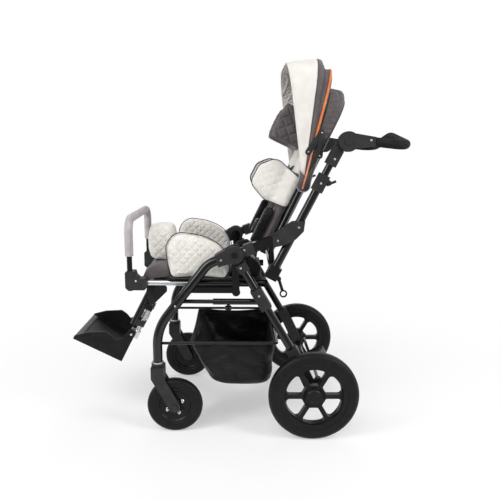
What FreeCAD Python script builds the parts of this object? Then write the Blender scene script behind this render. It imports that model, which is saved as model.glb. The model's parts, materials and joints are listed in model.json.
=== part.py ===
import FreeCAD, Part
import math
import os
from FreeCAD import Vector

# Special needs stroller, in millimetres.
# +Z is up, the front faces -Y, the left side is +X, and the floor is z = 0.

# Overall layout
REAR_WHEEL_D = 305.0
CASTER_D = 190.0
WHEELBASE = 471.0
REAR_AXLE_Y = 270.0
FRAME_X = 228.0
REAR_WHEEL_X = FRAME_X + 54.0
PUSH_X = FRAME_X - 6.0
PIVOT_AHEAD = 268.0
PIVOT_Z = 624.0
LINK_ANGLE = 20.7
LINK_LENGTH = 209.7
PUSH_ANGLE = 63.5
BACK_ANGLE = 64.5
LEG_REST_ANGLE = 243.0

# Fits
RUN = 0.06
SLIP = 0.15
GAP = 0.3

# Wheels and casters
REAR_TYRE_W = 44.0
REAR_RIM_R = 0.37 * REAR_WHEEL_D
REAR_HUB_R = 30.0
REAR_HUB_W = 40.0
SPOKE_W = 15.0
CASTER_TYRE_W = 34.0
CASTER_RIM_R = 0.325 * CASTER_D
CASTER_TRAIL = 56.0
CASTER_BOLT_R = 30.0
FORK_INSIDE = 19.5
FORK_OUTSIDE = 25.5
CROWN_H = 54.0
AXLE_R = 5.0
STUB_R = 6.0

# Frame tubes
FRONT_LEG_R = 16.0
REAR_LEG_R = 14.0
PUSH_R = 14.0
UPPER_PUSH_R = 11.9
WALL = 2.0
PIN_R = 5.0
EYE_R = 22.0
HALF_HOUSING = 22.0
HOUSING_R = 30.0
HOUSING_MOUTH = 62.0
HALF_SLOT = 16.0
HANGER_OUT = FRAME_X - HALF_HOUSING - GAP
HANGER_IN = HANGER_OUT - 5.4

# Seat
RAIL_DROP = 112.0
RAIL_X = FRAME_X - 58.0
RAIL_R = 12.5
RAIL_BORE = 9.5
INNER_RAIL_R = 9.4
RAIL_FRONT = -158.0
RAIL_BACK = 115.0
INNER_RAIL_FRONT = -338.0
INNER_RAIL_BACK = -30.0
CROSS_R = 11.0
BOARD_T = 8.0
CUSHION_T = 26.0
THIGH_OUTER = HANGER_IN - 1.3
THIGH_INNER = THIGH_OUTER - 47.0
CUSHION_HALF_W = THIGH_INNER - 4.0
STRUT_DROP = RAIL_DROP + 58.0
STRUT_X = FRAME_X - 30.0

# Grab bar
GRAB_X = RAIL_X + 13.0
GRAB_Y = -352.0
GRAB_R = 9.0
GRAB_FOAM_R = 14.0
GRAB_TOP = 106.0
CLAMP_TOP = 44.0

# Leg rest and footplate, along and ahead of the leg rest tubes
LEG_TUBE_X = RAIL_X - 62.0
LEG_TUBE_R = 12.5
LEG_TUBE_LENGTH = 152.0
CARRIER_R = 8.0
CARRIER_OFF = -24.0
TRAY_HALF_W = LEG_TUBE_X + 23.0
TRAY_WALL = 6.0
TRAY_DEPTH = 290.0
TRAY_LENGTH = 168.0
TRAY_PIN = (182.0, -10.0)

# Backrest, along and ahead of the recline axle
BACK_X = PUSH_X - 42.0
BACK_R = 10.0
BACK_OFF = 37.0
BACK_LENGTH = 575.0
PAD_BACK = BACK_OFF + BACK_R + 0.4
PAD_FRONT = 78.0
CANOPY_ALONG = 299.0

# Canopy segments: outer half width, radius, first and last angle
CANOPY_T = 3.0
CANOPY_CORNER = 110.0
CANOPY_FRONT = (BACK_X + 20.5, 416.0, 80.5, 98.0)
CANOPY_MID = (BACK_X + 17.0, 396.0, 75.2, 79.6)
CANOPY_REAR = (BACK_X + 13.5, 341.0, 63.0, 74.0)

# Handle
HUB_ALONG = 332.6
HUB_OFF = -15.1
HUB_R = 32.0
HANDLE_X = PUSH_X + 12.0
HANDLE_R = 10.0
GRIP_R = 15.0
ARM_IN = PUSH_X + 0.2
ARM_OUT = PUSH_X + 24.0
BUTTON_R = 12.0

# Basket
BASKET_HALF_W = FRAME_X - 27.0
BASKET_TOP = 312.0
BASKET_T = 3.0
ROD_R = 5.0
ROD_X = FRAME_X - 21.5
ROD_Z = 308.0


def ahead(origin, angle, along, off=0.0):
    """Point in the side plane: along a direction and off to its upper left."""
    a = math.radians(angle)
    y = origin[0] + along * math.cos(a) - off * math.sin(a)
    z = origin[1] + along * math.sin(a) + off * math.cos(a)
    return (y, z)


def angle_to(a, b):
    return math.degrees(math.atan2(b[1] - a[1], b[0] - a[0]))


def distance(a, b):
    return math.hypot(b[0] - a[0], b[1] - a[1])


# Places in the side plane, each as (y, z)
REAR_AXLE = (REAR_AXLE_Y, REAR_WHEEL_D / 2)
CASTER_AXLE = (REAR_AXLE_Y - WHEELBASE, CASTER_D / 2)
STEM_Y = CASTER_AXLE[0] - CASTER_TRAIL
CROWN_BOTTOM = CASTER_D + 2.0
CROWN_TOP = CROWN_BOTTOM + CROWN_H
LEG_FOOT_Z = CROWN_TOP + 6.0
KNEE = (STEM_Y, LEG_FOOT_Z + 115.0)
PIVOT = (REAR_AXLE_Y - PIVOT_AHEAD, PIVOT_Z)
ELBOW = ahead(PIVOT, LINK_ANGLE, -93.3)
REAR_FOOT = (REAR_AXLE[0] - 44.0, REAR_AXLE[1] + 92.5)
REAR_LEG_ANGLE = angle_to(PIVOT, REAR_FOOT)
REAR_LEG_LENGTH = distance(PIVOT, REAR_FOOT)
BRAKE = (REAR_AXLE[0] + 24.0, REAR_AXLE[1] + 26.0)
JOIN = ahead(PIVOT, LINK_ANGLE, LINK_LENGTH)
RECLINE = ahead(JOIN, PUSH_ANGLE, -151.0)
RELEASE = ahead(RECLINE, PUSH_ANGLE, -12.0, -27.0)
CLAMP_PIN = ahead(JOIN, PUSH_ANGLE, 190.0, -26.0)
HUB = ahead(JOIN, PUSH_ANGLE, HUB_ALONG, HUB_OFF)
CANOPY_PIVOT = ahead(RECLINE, BACK_ANGLE, CANOPY_ALONG, BACK_OFF)
RAIL_Z = PIVOT_Z - RAIL_DROP
CROSS_Z = RAIL_Z - RAIL_R - CROSS_R - 0.2
BOARD_Z = RAIL_Z + RAIL_R + GAP
CUSHION_Z = BOARD_Z + BOARD_T + GAP
STRUT_Z = PIVOT_Z - STRUT_DROP
SEAT_TUBE = (INNER_RAIL_FRONT + 56.0, RAIL_Z)
LEG_PIVOT = (INNER_RAIL_FRONT + 46.0, RAIL_Z - 34.0)
TRAY_HINGE = ahead(LEG_PIVOT, LEG_REST_ANGLE, TRAY_PIN[0], -TRAY_PIN[1])


def leg_y(z):
    """Y of the sloping stretch of a front leg at a height."""
    part = (z - KNEE[1]) / (ELBOW[1] - KNEE[1])
    return KNEE[0] + part * (ELBOW[0] - KNEE[0])


STRUT_FRONT = (leg_y(STRUT_Z), STRUT_Z)
STRUT_REAR_ALONG = (PIVOT_Z - STRUT_Z) / math.sin(math.radians(-REAR_LEG_ANGLE))
STRUT_REAR = ahead(PIVOT, REAR_LEG_ANGLE, STRUT_REAR_ALONG)


def at(x, yz):
    return Vector(x, yz[0], yz[1])


def mirrored(shape):
    return shape.mirror(Vector(0, 0, 0), Vector(1, 0, 0))


def both(*shapes):
    """The given left pieces and their right twins."""
    return list(shapes) + [mirrored(s) for s in shapes]


def save(name, solids):
    shape = solids[0] if len(solids) == 1 else Part.Compound(solids)
    shape.exportStep("parts/" + name + ".step")


def bar(yz, x0, x1, r):
    """Round bar along X."""
    return Part.makeCylinder(r, x1 - x0, at(x0, yz), Vector(1, 0, 0))


def rod(x, a, b, r):
    """Round rod between two places in one side plane."""
    start = at(x, a)
    run = at(x, b) - start
    return Part.makeCylinder(r, run.Length, start, run)


def plate(points, x0, x1):
    """Flat plate with the outline in the side plane."""
    corners = [at(x0, p) for p in points]
    face = Part.Face(Part.makePolygon(corners + corners[:1]))
    return face.extrude(Vector(x1 - x0, 0, 0))


def slab(origin, angle, s0, s1, n0, n1, x0, x1):
    """Block lying along a direction in the side plane."""
    corners = [(s0, n0), (s1, n0), (s1, n1), (s0, n1)]
    return plate([ahead(origin, angle, s, n) for s, n in corners], x0, x1)


def upright(x, y, z0, z1, r):
    return Part.makeCylinder(r, z1 - z0, Vector(x, y, z0), Vector(0, 0, 1))


def box(x0, x1, y0, y1, z0, z1):
    return Part.makeBox(x1 - x0, y1 - y0, z1 - z0, Vector(x0, y0, z0))


def bent_wire(points, radii):
    """Straight runs joined by arcs of the given bend radii."""
    edges = []
    start = points[0]
    for i, radius in enumerate(radii):
        corner = points[i + 1]
        back = (points[i] - corner).normalize()
        on = (points[i + 2] - corner).normalize()
        half = back.getAngle(on) / 2
        reach = radius / math.tan(half)
        middle = corner + (back + on).normalize() * (radius / math.sin(half) - radius)
        first = corner + back * reach
        last = corner + on * reach
        edges.append(Part.LineSegment(start, first).toShape())
        edges.append(Part.Arc(first, middle, last).toShape())
        start = last
    edges.append(Part.LineSegment(start, points[-1]).toShape())
    return Part.Wire(edges)


def pipe(points, radii, r):
    wire = bent_wire(points, radii)
    ring = Part.Wire(Part.makeCircle(r, points[0], points[1] - points[0]))
    return wire.makePipeShell([ring], True, False)


def bent_tube(points, radii, r_out, r_in):
    return pipe(points, radii, r_out).cut(pipe(points, radii, r_in))


def straight_tube(x, a, b, r_out, r_in):
    return rod(x, a, b, r_out).cut(rod(x, a, b, r_in))


def outline_face(items, place):
    """Face from places (a, b) joined by lines, or by arcs given as (middle, end)."""
    edges = []
    last = place(*items[0])
    for item in items[1:] + items[:1]:
        if isinstance(item[0], tuple):
            end = place(*item[1])
            edges.append(Part.Arc(last, place(*item[0]), end).toShape())
        else:
            end = place(*item)
            edges.append(Part.LineSegment(last, end).toShape())
        last = end
    return Part.Face(Part.Wire(edges))


def turned(items, yz, angle=360.0, start=90.0):
    """Solid turned about an X axis from an outline in (x, radius)."""
    a = math.radians(start)

    def place(x, r):
        return Vector(x, yz[0] + r * math.cos(a), yz[1] + r * math.sin(a))

    face = outline_face(items, place)
    return face.revolve(at(0, yz), Vector(1, 0, 0), angle)


def inset(corners, amount):
    """Corners of an anticlockwise outline moved in by an amount."""
    moved = []
    for i, corner in enumerate(corners):
        before = corners[i - 1]
        after = corners[(i + 1) % len(corners)]
        a1 = math.atan2(corner[1] - before[1], corner[0] - before[0])
        a2 = math.atan2(after[1] - corner[1], after[0] - corner[0])
        middle = (a1 + math.atan2(math.sin(a2 - a1), math.cos(a2 - a1)) / 2) + math.pi / 2
        reach = amount / math.cos(middle - math.pi / 2 - a1)
        moved.append((corner[0] + reach * math.cos(middle), corner[1] + reach * math.sin(middle)))
    return moved


def rounded_wire(corners, radii, place):
    """Closed outline with an arc at each corner."""
    edges = []
    arcs = []
    for i, radius in enumerate(radii):
        corner = Vector(corners[i][0], corners[i][1], 0)
        before = Vector(corners[i - 1][0], corners[i - 1][1], 0)
        after = corners[(i + 1) % len(corners)]
        back = (before - corner).normalize()
        on = (Vector(after[0], after[1], 0) - corner).normalize()
        half = back.getAngle(on) / 2
        reach = radius / math.tan(half)
        middle = corner + (back + on).normalize() * (radius / math.sin(half) - radius)
        arcs.append((corner + back * reach, middle, corner + on * reach))
    for i, (first, middle, last) in enumerate(arcs):
        following = arcs[(i + 1) % len(arcs)][0]
        edges.append(Part.Arc(place(first), place(middle), place(last)).toShape())
        edges.append(Part.LineSegment(place(last), place(following)).toShape())
    return Part.Wire(edges)


# How far a cushion's outline is drawn in through its thickness
CROWN = [(0.0, 1.0), (0.1, 0.45), (0.27, 0.1), (0.5, 0.0), (0.73, 0.1), (0.9, 0.45), (1.0, 1.0)]


def cushion(corners, radii, t0, t1, draw, place):
    """Padded shape: its sides are drawn in towards both crowned faces."""
    wires = []
    for part, amount in CROWN:
        t = t0 + part * (t1 - t0)
        section = inset(corners, draw * amount)

        def put(v, level=t):
            return place(v.x, v.y, level)

        wires.append(rounded_wire(section, radii, put))
    return Part.makeLoft(wires, True, True)


def channels(body, middle, span, pitch, width, depth, place):
    """Sew a diamond pattern of channels into one face of a cushion."""
    reach = 2 * span
    count = int(span / pitch)
    for lean in (1, -1):
        for i in range(-count, count + 1):
            a = math.radians(45 * lean)
            across = (-math.sin(a), math.cos(a))
            along = (math.cos(a), math.sin(a))
            base = (middle[0] + across[0] * i * pitch, middle[1] + across[1] * i * pitch)
            corners = []
            for s, w in ((-reach, -width / 2), (reach, -width / 2), (reach, width / 2), (-reach, width / 2)):
                p = (base[0] + along[0] * s + across[0] * w, base[1] + along[1] * s + across[1] * w)
                corners.append(p)
            low = Part.makePolygon([place(p[0], p[1], 0) for p in corners + corners[:1]])
            cut = Part.Face(low).extrude(place(0, 0, depth) - place(0, 0, 0))
            body = body.cut(cut)
    return body


# Front frame

def front_leg():
    points = [at(FRAME_X, (STEM_Y, LEG_FOOT_Z)), at(FRAME_X, KNEE), at(FRAME_X, ELBOW)]
    points.append(at(FRAME_X, ahead(PIVOT, LINK_ANGLE, -36.0)))
    half_turn = math.radians(angle_to(KNEE, ELBOW) - LINK_ANGLE) / 2
    bend = min(80.0, 25.0 / math.tan(half_turn))
    return bent_tube(points, [170.0, bend], FRONT_LEG_R, FRONT_LEG_R - WALL)


def hinge_housing():
    """Wedge that widens from the leg tube's mouth to the round hinge end."""
    x = FRAME_X
    half = FRONT_LEG_R + 3.5
    lean = math.asin((HOUSING_R - half) / HOUSING_MOUTH)
    s, n = -HOUSING_R * math.sin(lean), HOUSING_R * math.cos(lean)
    low = half + 1.5
    corners = [(-HOUSING_MOUTH, -half), (-low, -low), (s, 0), (s, n), (-HOUSING_MOUTH, half)]
    body = plate([ahead(PIVOT, LINK_ANGLE, a, b) for a, b in corners], x - HALF_HOUSING, x + HALF_HOUSING)
    body = body.fuse(bar(PIVOT, x - HALF_HOUSING, x + HALF_HOUSING, HOUSING_R))
    slot = bar(PIVOT, x - HALF_SLOT, x + HALF_SLOT, HOUSING_R + 1)
    slot = slot.fuse(slab(PIVOT, LINK_ANGLE, -25, 32, -32, 32, x - HALF_SLOT, x + HALF_SLOT))
    slot = slot.cut(slab(PIVOT, LINK_ANGLE, -70, -25, -32, 32, x - 40, x + 40))
    body = body.cut(slot)
    bore = rod(x, ahead(PIVOT, LINK_ANGLE, -72), ahead(PIVOT, LINK_ANGLE, -35.7), FRONT_LEG_R + SLIP)
    body = body.cut(bore)
    return body.cut(bar(PIVOT, x - 30, x + 30, PIN_R + RUN))


def hinge_bolt():
    x = FRAME_X
    bolt = bar(PIVOT, HANGER_IN - 4.3, x + HALF_HOUSING + 5, PIN_R)
    bolt = bolt.fuse(bar(PIVOT, x + HALF_HOUSING + 0.1, x + HALF_HOUSING + 5, 9.0))
    return bolt.fuse(bar(PIVOT, HANGER_IN - 4.8, HANGER_IN - GAP, 9.0))


def strut_pin():
    return bar(STRUT_FRONT, STRUT_X - 9, FRAME_X - FRONT_LEG_R - 0.2, PIN_R)


def hanger_plate():
    tube = (PIVOT[0] + 6.0, CROSS_Z)
    body = bar(PIVOT, HANGER_IN, HANGER_OUT, 16.0).fuse(bar(tube, HANGER_IN, HANGER_OUT, 14.0))
    run = angle_to(PIVOT, tube)
    body = body.fuse(slab(PIVOT, run, 0, distance(PIVOT, tube), -12, 12, HANGER_IN, HANGER_OUT))
    return body.cut(bar(PIVOT, HANGER_IN - 5, HANGER_OUT + 5, PIN_R + 0.1))


def cross_tube(yz, half, r):
    return bar(yz, -half, half, r).cut(bar(yz, -half, half, r - WALL))


def seat_crossmembers():
    front = cross_tube((leg_y(CROSS_Z), CROSS_Z), FRAME_X - FRONT_LEG_R - GAP, CROSS_R)
    rear = cross_tube((PIVOT[0] + 6.0, CROSS_Z), HANGER_IN - GAP, CROSS_R)
    back = PIVOT[0] + 6.0 - CROSS_R - GAP
    bar_front = leg_y(CROSS_Z) + CROSS_R + GAP
    side = box(RAIL_X - 10, RAIL_X + 10, bar_front, back, CROSS_Z - 10, CROSS_Z + 10)
    return [front, rear] + both(hanger_plate(), side)


def outer_rail():
    return straight_tube(RAIL_X, (RAIL_FRONT, RAIL_Z), (RAIL_BACK, RAIL_Z), RAIL_R, RAIL_BORE)


def seat_board():
    w = RAIL_X + 16
    corners = [(-w, RAIL_FRONT - 70), (w, RAIL_FRONT - 70), (w, 98), (-w, 98)]

    def place(v):
        return Vector(v.x, v.y, BOARD_Z)

    wire = rounded_wire(corners, [20] * 4, place)
    return Part.Face(wire).extrude(Vector(0, 0, BOARD_T))


def seat_cushion():
    w = CUSHION_HALF_W
    corners = [(-w, RAIL_FRONT - 66), (w, RAIL_FRONT - 66), (w, 88), (-w, 88)]

    def place(a, b, t):
        return Vector(a, b, t)

    return cushion(corners, [40] * 4, CUSHION_Z, CUSHION_Z + CUSHION_T, 12, place)


def thigh_pad():
    z = CUSHION_Z
    y = PIVOT[0]
    corners = [(y - 220, z), (y - 26, z), (y - 14, z + 28), (y - 22, z + 103)]
    corners += [(y - 106, z + 149), (y - 196, z + 159), (y - 232, z + 116)]

    def place(a, b, t):
        return Vector(t, a, b)

    def outer(a, b, t):
        return Vector(THIGH_OUTER + 1 - t, a, b)

    pad = cushion(corners, [20, 12, 20, 100, 200, 50, 60], THIGH_INNER, THIGH_OUTER, 9, place)
    return channels(pad, (y - 120, z + 75), 110, 30, 2.0, 3.0, outer)


def basket():
    top = BASKET_TOP
    outline = [(-152, top), (-86, 168), (-46, 140), (130, 140), (144, top)]
    hollow = inset(outline, BASKET_T)
    hollow[0] = (outline[0][0] + 3.5, top + 1)
    hollow[-1] = (outline[-1][0] - 3.1, top + 1)
    body = plate(outline, -BASKET_HALF_W, BASKET_HALF_W)
    return body.cut(plate(hollow, -BASKET_HALF_W + BASKET_T, BASKET_HALF_W - BASKET_T))


def basket_rod():
    front = STEM_Y - 8
    back = 144 + ROD_R + 0.6
    points = [Vector(ROD_X, front, ROD_Z), Vector(ROD_X, back, ROD_Z)]
    points += [Vector(-ROD_X, back, ROD_Z), Vector(-ROD_X, front, ROD_Z)]
    return pipe(points, [9, 9], ROD_R)


def caster_collar():
    x = FRAME_X
    body = upright(x, STEM_Y, CROWN_TOP + GAP, LEG_FOOT_Z - 0.1, 19.0)
    body = body.fuse(upright(x, STEM_Y, LEG_FOOT_Z - 0.1, LEG_FOOT_Z + 44, FRONT_LEG_R - WALL - 0.1))
    return body.cut(upright(x, STEM_Y, CROWN_TOP, LEG_FOOT_Z + 60, 7.0 + RUN))


# Casters

def caster_fork():
    x = FRAME_X
    y = STEM_Y
    lean = angle_to((y, CROWN_BOTTOM + 22), CASTER_AXLE)
    low = ahead(CASTER_AXLE, lean, 0, -19)
    high = ahead(CASTER_AXLE, lean, 0, 19)
    outline = [(y - 22, CROWN_TOP - 10), (y - 22, CROWN_BOTTOM + 4), low, high]
    outline += [(y + 22, CROWN_BOTTOM + 8), (y + 22, CROWN_TOP - 10)]
    body = plate(outline, x - FORK_OUTSIDE, x + FORK_OUTSIDE)
    body = body.fuse(bar(CASTER_AXLE, x - FORK_OUTSIDE, x + FORK_OUTSIDE, 19.0))
    room = box(x - FORK_INSIDE, x + FORK_INSIDE, y - 60, y + 160, 0, CROWN_BOTTOM)
    body = body.cut(room)
    body = body.fuse(upright(x, y, CROWN_BOTTOM + 2, CROWN_TOP, 22.0))
    body = body.fuse(upright(x, y, CROWN_TOP - 2, LEG_FOOT_Z + 40, 7.0))
    return body.cut(bar(CASTER_AXLE, x - 40, x + 40, AXLE_R + 0.1))


def caster_axle():
    x = FRAME_X
    body = bar(CASTER_AXLE, x - FORK_OUTSIDE - 2.5, x + FORK_OUTSIDE + 2.5, AXLE_R)
    for side in (-1, 1):
        inner = x + side * (FORK_OUTSIDE + 0.1)
        outer = x + side * (FORK_OUTSIDE + 2.5)
        body = body.fuse(bar(CASTER_AXLE, min(inner, outer), max(inner, outer), 9.0))
    return body


def caster_hub():
    x = FRAME_X
    bore = AXLE_R + RUN
    rim = CASTER_RIM_R
    items = [(x - 17, bore), (x + 17, bore), (x + 17, 18), (x + 10, 22), (x + 10, rim - 10), (x + 14, rim - 6)]
    items += [(x + 14, rim), (x - 14, rim), (x - 14, rim - 6), (x - 10, rim - 10), (x - 10, 22), (x - 17, 18)]
    body = turned(items, CASTER_AXLE)
    for i in range(3):
        yz = ahead(CASTER_AXLE, 90 + 120 * i, CASTER_BOLT_R)
        body = body.fuse(bar(yz, x - 14, x + 14, 5.0))
    return body


def tyre(x, yz, r_in, r_out, width):
    half = width / 2
    crown = r_out - 0.32 * width
    items = [(x - half + 3, r_in), (x + half - 3, r_in), (x + half, r_in + 6), (x + half, crown)]
    items.append(((x + half * 0.72, r_out - 0.09 * width), (x + half * 0.3, r_out)))
    items.append((x - half * 0.3, r_out))
    items.append(((x - half * 0.72, r_out - 0.09 * width), (x - half, crown)))
    items.append((x - half, r_in + 6))
    return turned(items, yz)


def caster_tyre():
    return tyre(FRAME_X, CASTER_AXLE, CASTER_RIM_R + 0.2, CASTER_D / 2, CASTER_TYRE_W)


# Rear frame

def rear_leg():
    start = ahead(PIVOT, REAR_LEG_ANGLE, 46.3)
    end = ahead(PIVOT, REAR_LEG_ANGLE, REAR_LEG_LENGTH - 2)
    return straight_tube(FRAME_X, start, end, REAR_LEG_R, REAR_LEG_R - WALL)


def eye_block(angle, x0, x1, half):
    """Hinge eye on one side of the slot, widening to a socket block."""
    wide = HALF_SLOT - GAP
    body = bar(PIVOT, x0, x1, EYE_R)
    body = body.fuse(slab(PIVOT, angle, 0, 40, -15, 15, x0, x1))
    body = body.fuse(slab(PIVOT, angle, 36, 68, -half, half, FRAME_X - wide, FRAME_X + wide))
    return body.cut(bar(PIVOT, x0 - 1, x1 + 1, PIN_R + RUN))


def rear_eye():
    body = eye_block(REAR_LEG_ANGLE, FRAME_X - HALF_SLOT + GAP, FRAME_X - 0.2, 17.5)
    a = ahead(PIVOT, REAR_LEG_ANGLE, 46)
    b = ahead(PIVOT, REAR_LEG_ANGLE, 70)
    return body.cut(rod(FRAME_X, a, b, REAR_LEG_R + SLIP))


def leg_sleeve():
    x = FRAME_X
    body = slab(PIVOT, REAR_LEG_ANGLE, 137, 214, -19, 19, x - 19, x + 19)
    a = ahead(PIVOT, REAR_LEG_ANGLE, 130)
    b = ahead(PIVOT, REAR_LEG_ANGLE, 220)
    body = body.cut(rod(x, a, b, REAR_LEG_R + SLIP))
    return body.fuse(bar(STRUT_REAR, STRUT_X - 7, x - 18, 4.0))


def axle_bracket():
    x0 = FRAME_X - 17
    x1 = FRAME_X + 22
    end = REAR_LEG_LENGTH
    body = slab(PIVOT, REAR_LEG_ANGLE, end - 62, end + 4, -19, 19, x0, x1)
    run = angle_to(REAR_FOOT, REAR_AXLE)
    body = body.fuse(slab(REAR_FOOT, run, -4, distance(REAR_FOOT, REAR_AXLE), -20, 20, x0, x1))
    body = body.fuse(bar(REAR_AXLE, x0, x1, 24.0))
    body = body.fuse(bar(BRAKE, x0, x0 + 20, 13.0))
    body = body.fuse(slab(REAR_AXLE, angle_to(REAR_AXLE, BRAKE), 0, 36, -12, 12, x0, x0 + 20))
    a = ahead(PIVOT, REAR_LEG_ANGLE, end - 70)
    b = ahead(PIVOT, REAR_LEG_ANGLE, end - 1.7)
    body = body.cut(rod(FRAME_X, a, b, REAR_LEG_R + SLIP))
    body = body.cut(bar(BRAKE, x0 - 1, x0 + 12, 4.0 + RUN))
    return body.fuse(bar(REAR_AXLE, x1 - 1, REAR_WHEEL_X + 18, STUB_R))


def rear_axle_tube():
    return cross_tube(REAR_AXLE, FRAME_X - 17 - GAP, CROSS_R)


def brake_pedal():
    half = FRAME_X - 17.5
    body = bar(BRAKE, -half, half, 6.0)
    body = body.fuse(bar(BRAKE, -half - 10, half + 10, 4.0))
    return body.fuse(slab(BRAKE, 28, 0, 62, -4, 4, -45, 45))


# Rear wheels

def spoke_window():
    """One rounded triangular window between two spokes."""
    inner = REAR_HUB_R + 12
    outer = REAR_RIM_R - 17
    spread = math.radians(30) - SPOKE_W / 2 / outer
    narrow = math.radians(30) - SPOKE_W / 2 / inner
    corners = [(inner * math.cos(narrow), -inner * math.sin(narrow))]
    corners += [(outer * math.cos(spread), -outer * math.sin(spread)), (outer + 3, 0)]
    corners += [(outer * math.cos(spread), outer * math.sin(spread))]
    corners += [(inner * math.cos(narrow), inner * math.sin(narrow))]

    def place(v):
        return Vector(REAR_WHEEL_X - 30, REAR_AXLE[0] + v.x, REAR_AXLE[1] + v.y)

    wire = rounded_wire(corners, [5, 12, 60, 12, 5], place)
    return Part.Face(wire).extrude(Vector(60, 0, 0))


def rear_rim():
    x = REAR_WHEEL_X
    rim = REAR_RIM_R
    hub = REAR_HUB_W / 2
    items = [(x - hub, STUB_R + RUN), (x + hub - 1, STUB_R + RUN), (x + hub - 1, 0.0), (x + hub, 0.0)]
    items += [(x + hub, REAR_HUB_R), (x + 10, REAR_HUB_R + 6)]
    items += [(x + 10, rim - 18), (x + 18, rim - 14), (x + 18, rim), (x - 18, rim), (x - 18, rim - 14)]
    items += [(x - 10, rim - 18), (x - 10, REAR_HUB_R + 6), (x - hub, REAR_HUB_R)]
    body = turned(items, REAR_AXLE)
    window = spoke_window()
    for i in range(6):
        cut = window.copy()
        cut.rotate(at(0, REAR_AXLE), Vector(1, 0, 0), 60 * i + 30)
        body = body.cut(cut)
    return body


def hub_cap():
    x = REAR_WHEEL_X + REAR_HUB_W / 2
    items = [(x + 0.1, 0.0), (x + 0.1, REAR_HUB_R - 2), (x + 3, REAR_HUB_R - 5), (x + 3, 16), (x + 1.5, 14), (x + 1.5, 0.0)]
    return turned(items, REAR_AXLE)


def rear_tyre():
    return tyre(REAR_WHEEL_X, REAR_AXLE, REAR_RIM_R + 0.2, REAR_WHEEL_D / 2, REAR_TYRE_W)


# Side struts

def strut_inner():
    y, z = STRUT_FRONT
    body = rod(STRUT_X, (y + 9, z), (y + 170, z), 7.0)
    body = body.fuse(bar(STRUT_FRONT, STRUT_X - 7, STRUT_X + 7, 12.0))
    return body.cut(bar(STRUT_FRONT, STRUT_X - 20, STRUT_X + 20, PIN_R + RUN))


def strut_outer():
    start = STRUT_FRONT[0] + 120
    end = STRUT_REAR[0]
    body = rod(STRUT_X, (start, STRUT_Z), (end - 11, STRUT_Z), 10.5)
    body = body.fuse(bar(STRUT_REAR, STRUT_X - 6.5, STRUT_X + 6.5, 14.0))
    body = body.cut(rod(STRUT_X, (start - 1, STRUT_Z), (end - 15, STRUT_Z), 7.0 + RUN))
    return body.cut(bar(STRUT_REAR, STRUT_X - 20, STRUT_X + 20, 9.0))


def strut_knob():
    y = STRUT_FRONT[0] + 172
    stem = upright(STRUT_X, y, STRUT_Z - 16, STRUT_Z - 10.7, 5.0)
    return stem.fuse(upright(STRUT_X, y, STRUT_Z - 28, STRUT_Z - 16, 11.0))


# Push frame

def upper_link():
    x = FRAME_X
    end = LINK_LENGTH - 60
    body = slab(PIVOT, LINK_ANGLE, 46.3, end, -16, 16, x - 12, x + 12)
    return body.cut(slab(PIVOT, LINK_ANGLE, 40, end + 5, -13.5, 13.5, x - 9.5, x + 9.5))


def link_pocket(s0, s1):
    x = FRAME_X
    return slab(PIVOT, LINK_ANGLE, s0, s1, -16 - SLIP, 16 + SLIP, x - 12 - SLIP, x + 12 + SLIP)


def link_fitting():
    body = eye_block(LINK_ANGLE, FRAME_X + 0.2, FRAME_X + HALF_SLOT - GAP, 19.5)
    return body.cut(link_pocket(46, 70))


def push_at(along, off=0.0):
    return ahead(JOIN, PUSH_ANGLE, along, off)


def back_bracket():
    outline = [(-73, -10), (-69, -48), (-35, -41), (3, -21), (28, 5), (32, 39), (-8, 34)]
    points = [(JOIN[0] + a, JOIN[1] + b) for a, b in outline]
    body = plate(points, PUSH_X - 16, PUSH_X + 24)
    body = body.cut(link_pocket(LINK_LENGTH - 90, LINK_LENGTH - 59.7))
    return body.cut(rod(PUSH_X, push_at(-80), push_at(80), PUSH_R + SLIP))


def push_tube():
    return straight_tube(PUSH_X, push_at(-158), push_at(203), PUSH_R, PUSH_R - WALL)


def recline_block():
    body = slab(JOIN, PUSH_ANGLE, -174, -128, -20, 20, PUSH_X - 18, PUSH_X + 18)
    body = body.cut(rod(PUSH_X, push_at(-158.3), push_at(-120), PUSH_R + SLIP))
    x = PUSH_X
    lug = bar(RELEASE, x - 14, x + 3.7, 8.0)
    lug = lug.fuse(slab(RECLINE, PUSH_ANGLE, -19, -5, -27, -18, x - 14, x + 3.7))
    return body.fuse(lug).cut(bar(RELEASE, x - 22, x + 8, 3.0 + RUN))


def recline_axle():
    return cross_tube(RECLINE, PUSH_X - 18 - GAP, 10.0)


def tube_clamp():
    body = slab(JOIN, PUSH_ANGLE, 150, 208, -18, 18, PUSH_X - 17, PUSH_X + 17)
    body = body.fuse(slab(JOIN, PUSH_ANGLE, 180, 200, -27, -17, PUSH_X - 7, PUSH_X + 7))
    body = body.fuse(bar(CLAMP_PIN, PUSH_X - 7, PUSH_X + 7, 7.0))
    body = body.cut(rod(PUSH_X, push_at(140), push_at(203.3), PUSH_R + SLIP))
    body = body.cut(rod(PUSH_X, push_at(200), push_at(220), UPPER_PUSH_R + 0.1))
    return body.cut(bar(CLAMP_PIN, PUSH_X - 20, PUSH_X + 20, 2.5 + RUN))


def clamp_lever():
    x = PUSH_X + 7 + GAP
    body = bar(CLAMP_PIN, PUSH_X - 7, x + 3, 2.5)
    body = body.fuse(bar(CLAMP_PIN, x, x + 5, 6.5))
    return body.fuse(slab(CLAMP_PIN, 20, 0, 22, -4, 4, x, x + 5))


def release_loop():
    x = PUSH_X + 4
    body = bar(RELEASE, PUSH_X - 13, x + 5, 3.0).fuse(bar(RELEASE, x, x + 4, 7.0))
    ring = ahead(RELEASE, -72, 52)
    body = body.fuse(slab(RELEASE, -72, 0, 44, -5, 5, x, x + 4))
    return body.fuse(bar(ring, x, x + 4, 13.0)).cut(bar(ring, x - 6, x + 14, 8.0))


# Upper push bar and handle

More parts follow.
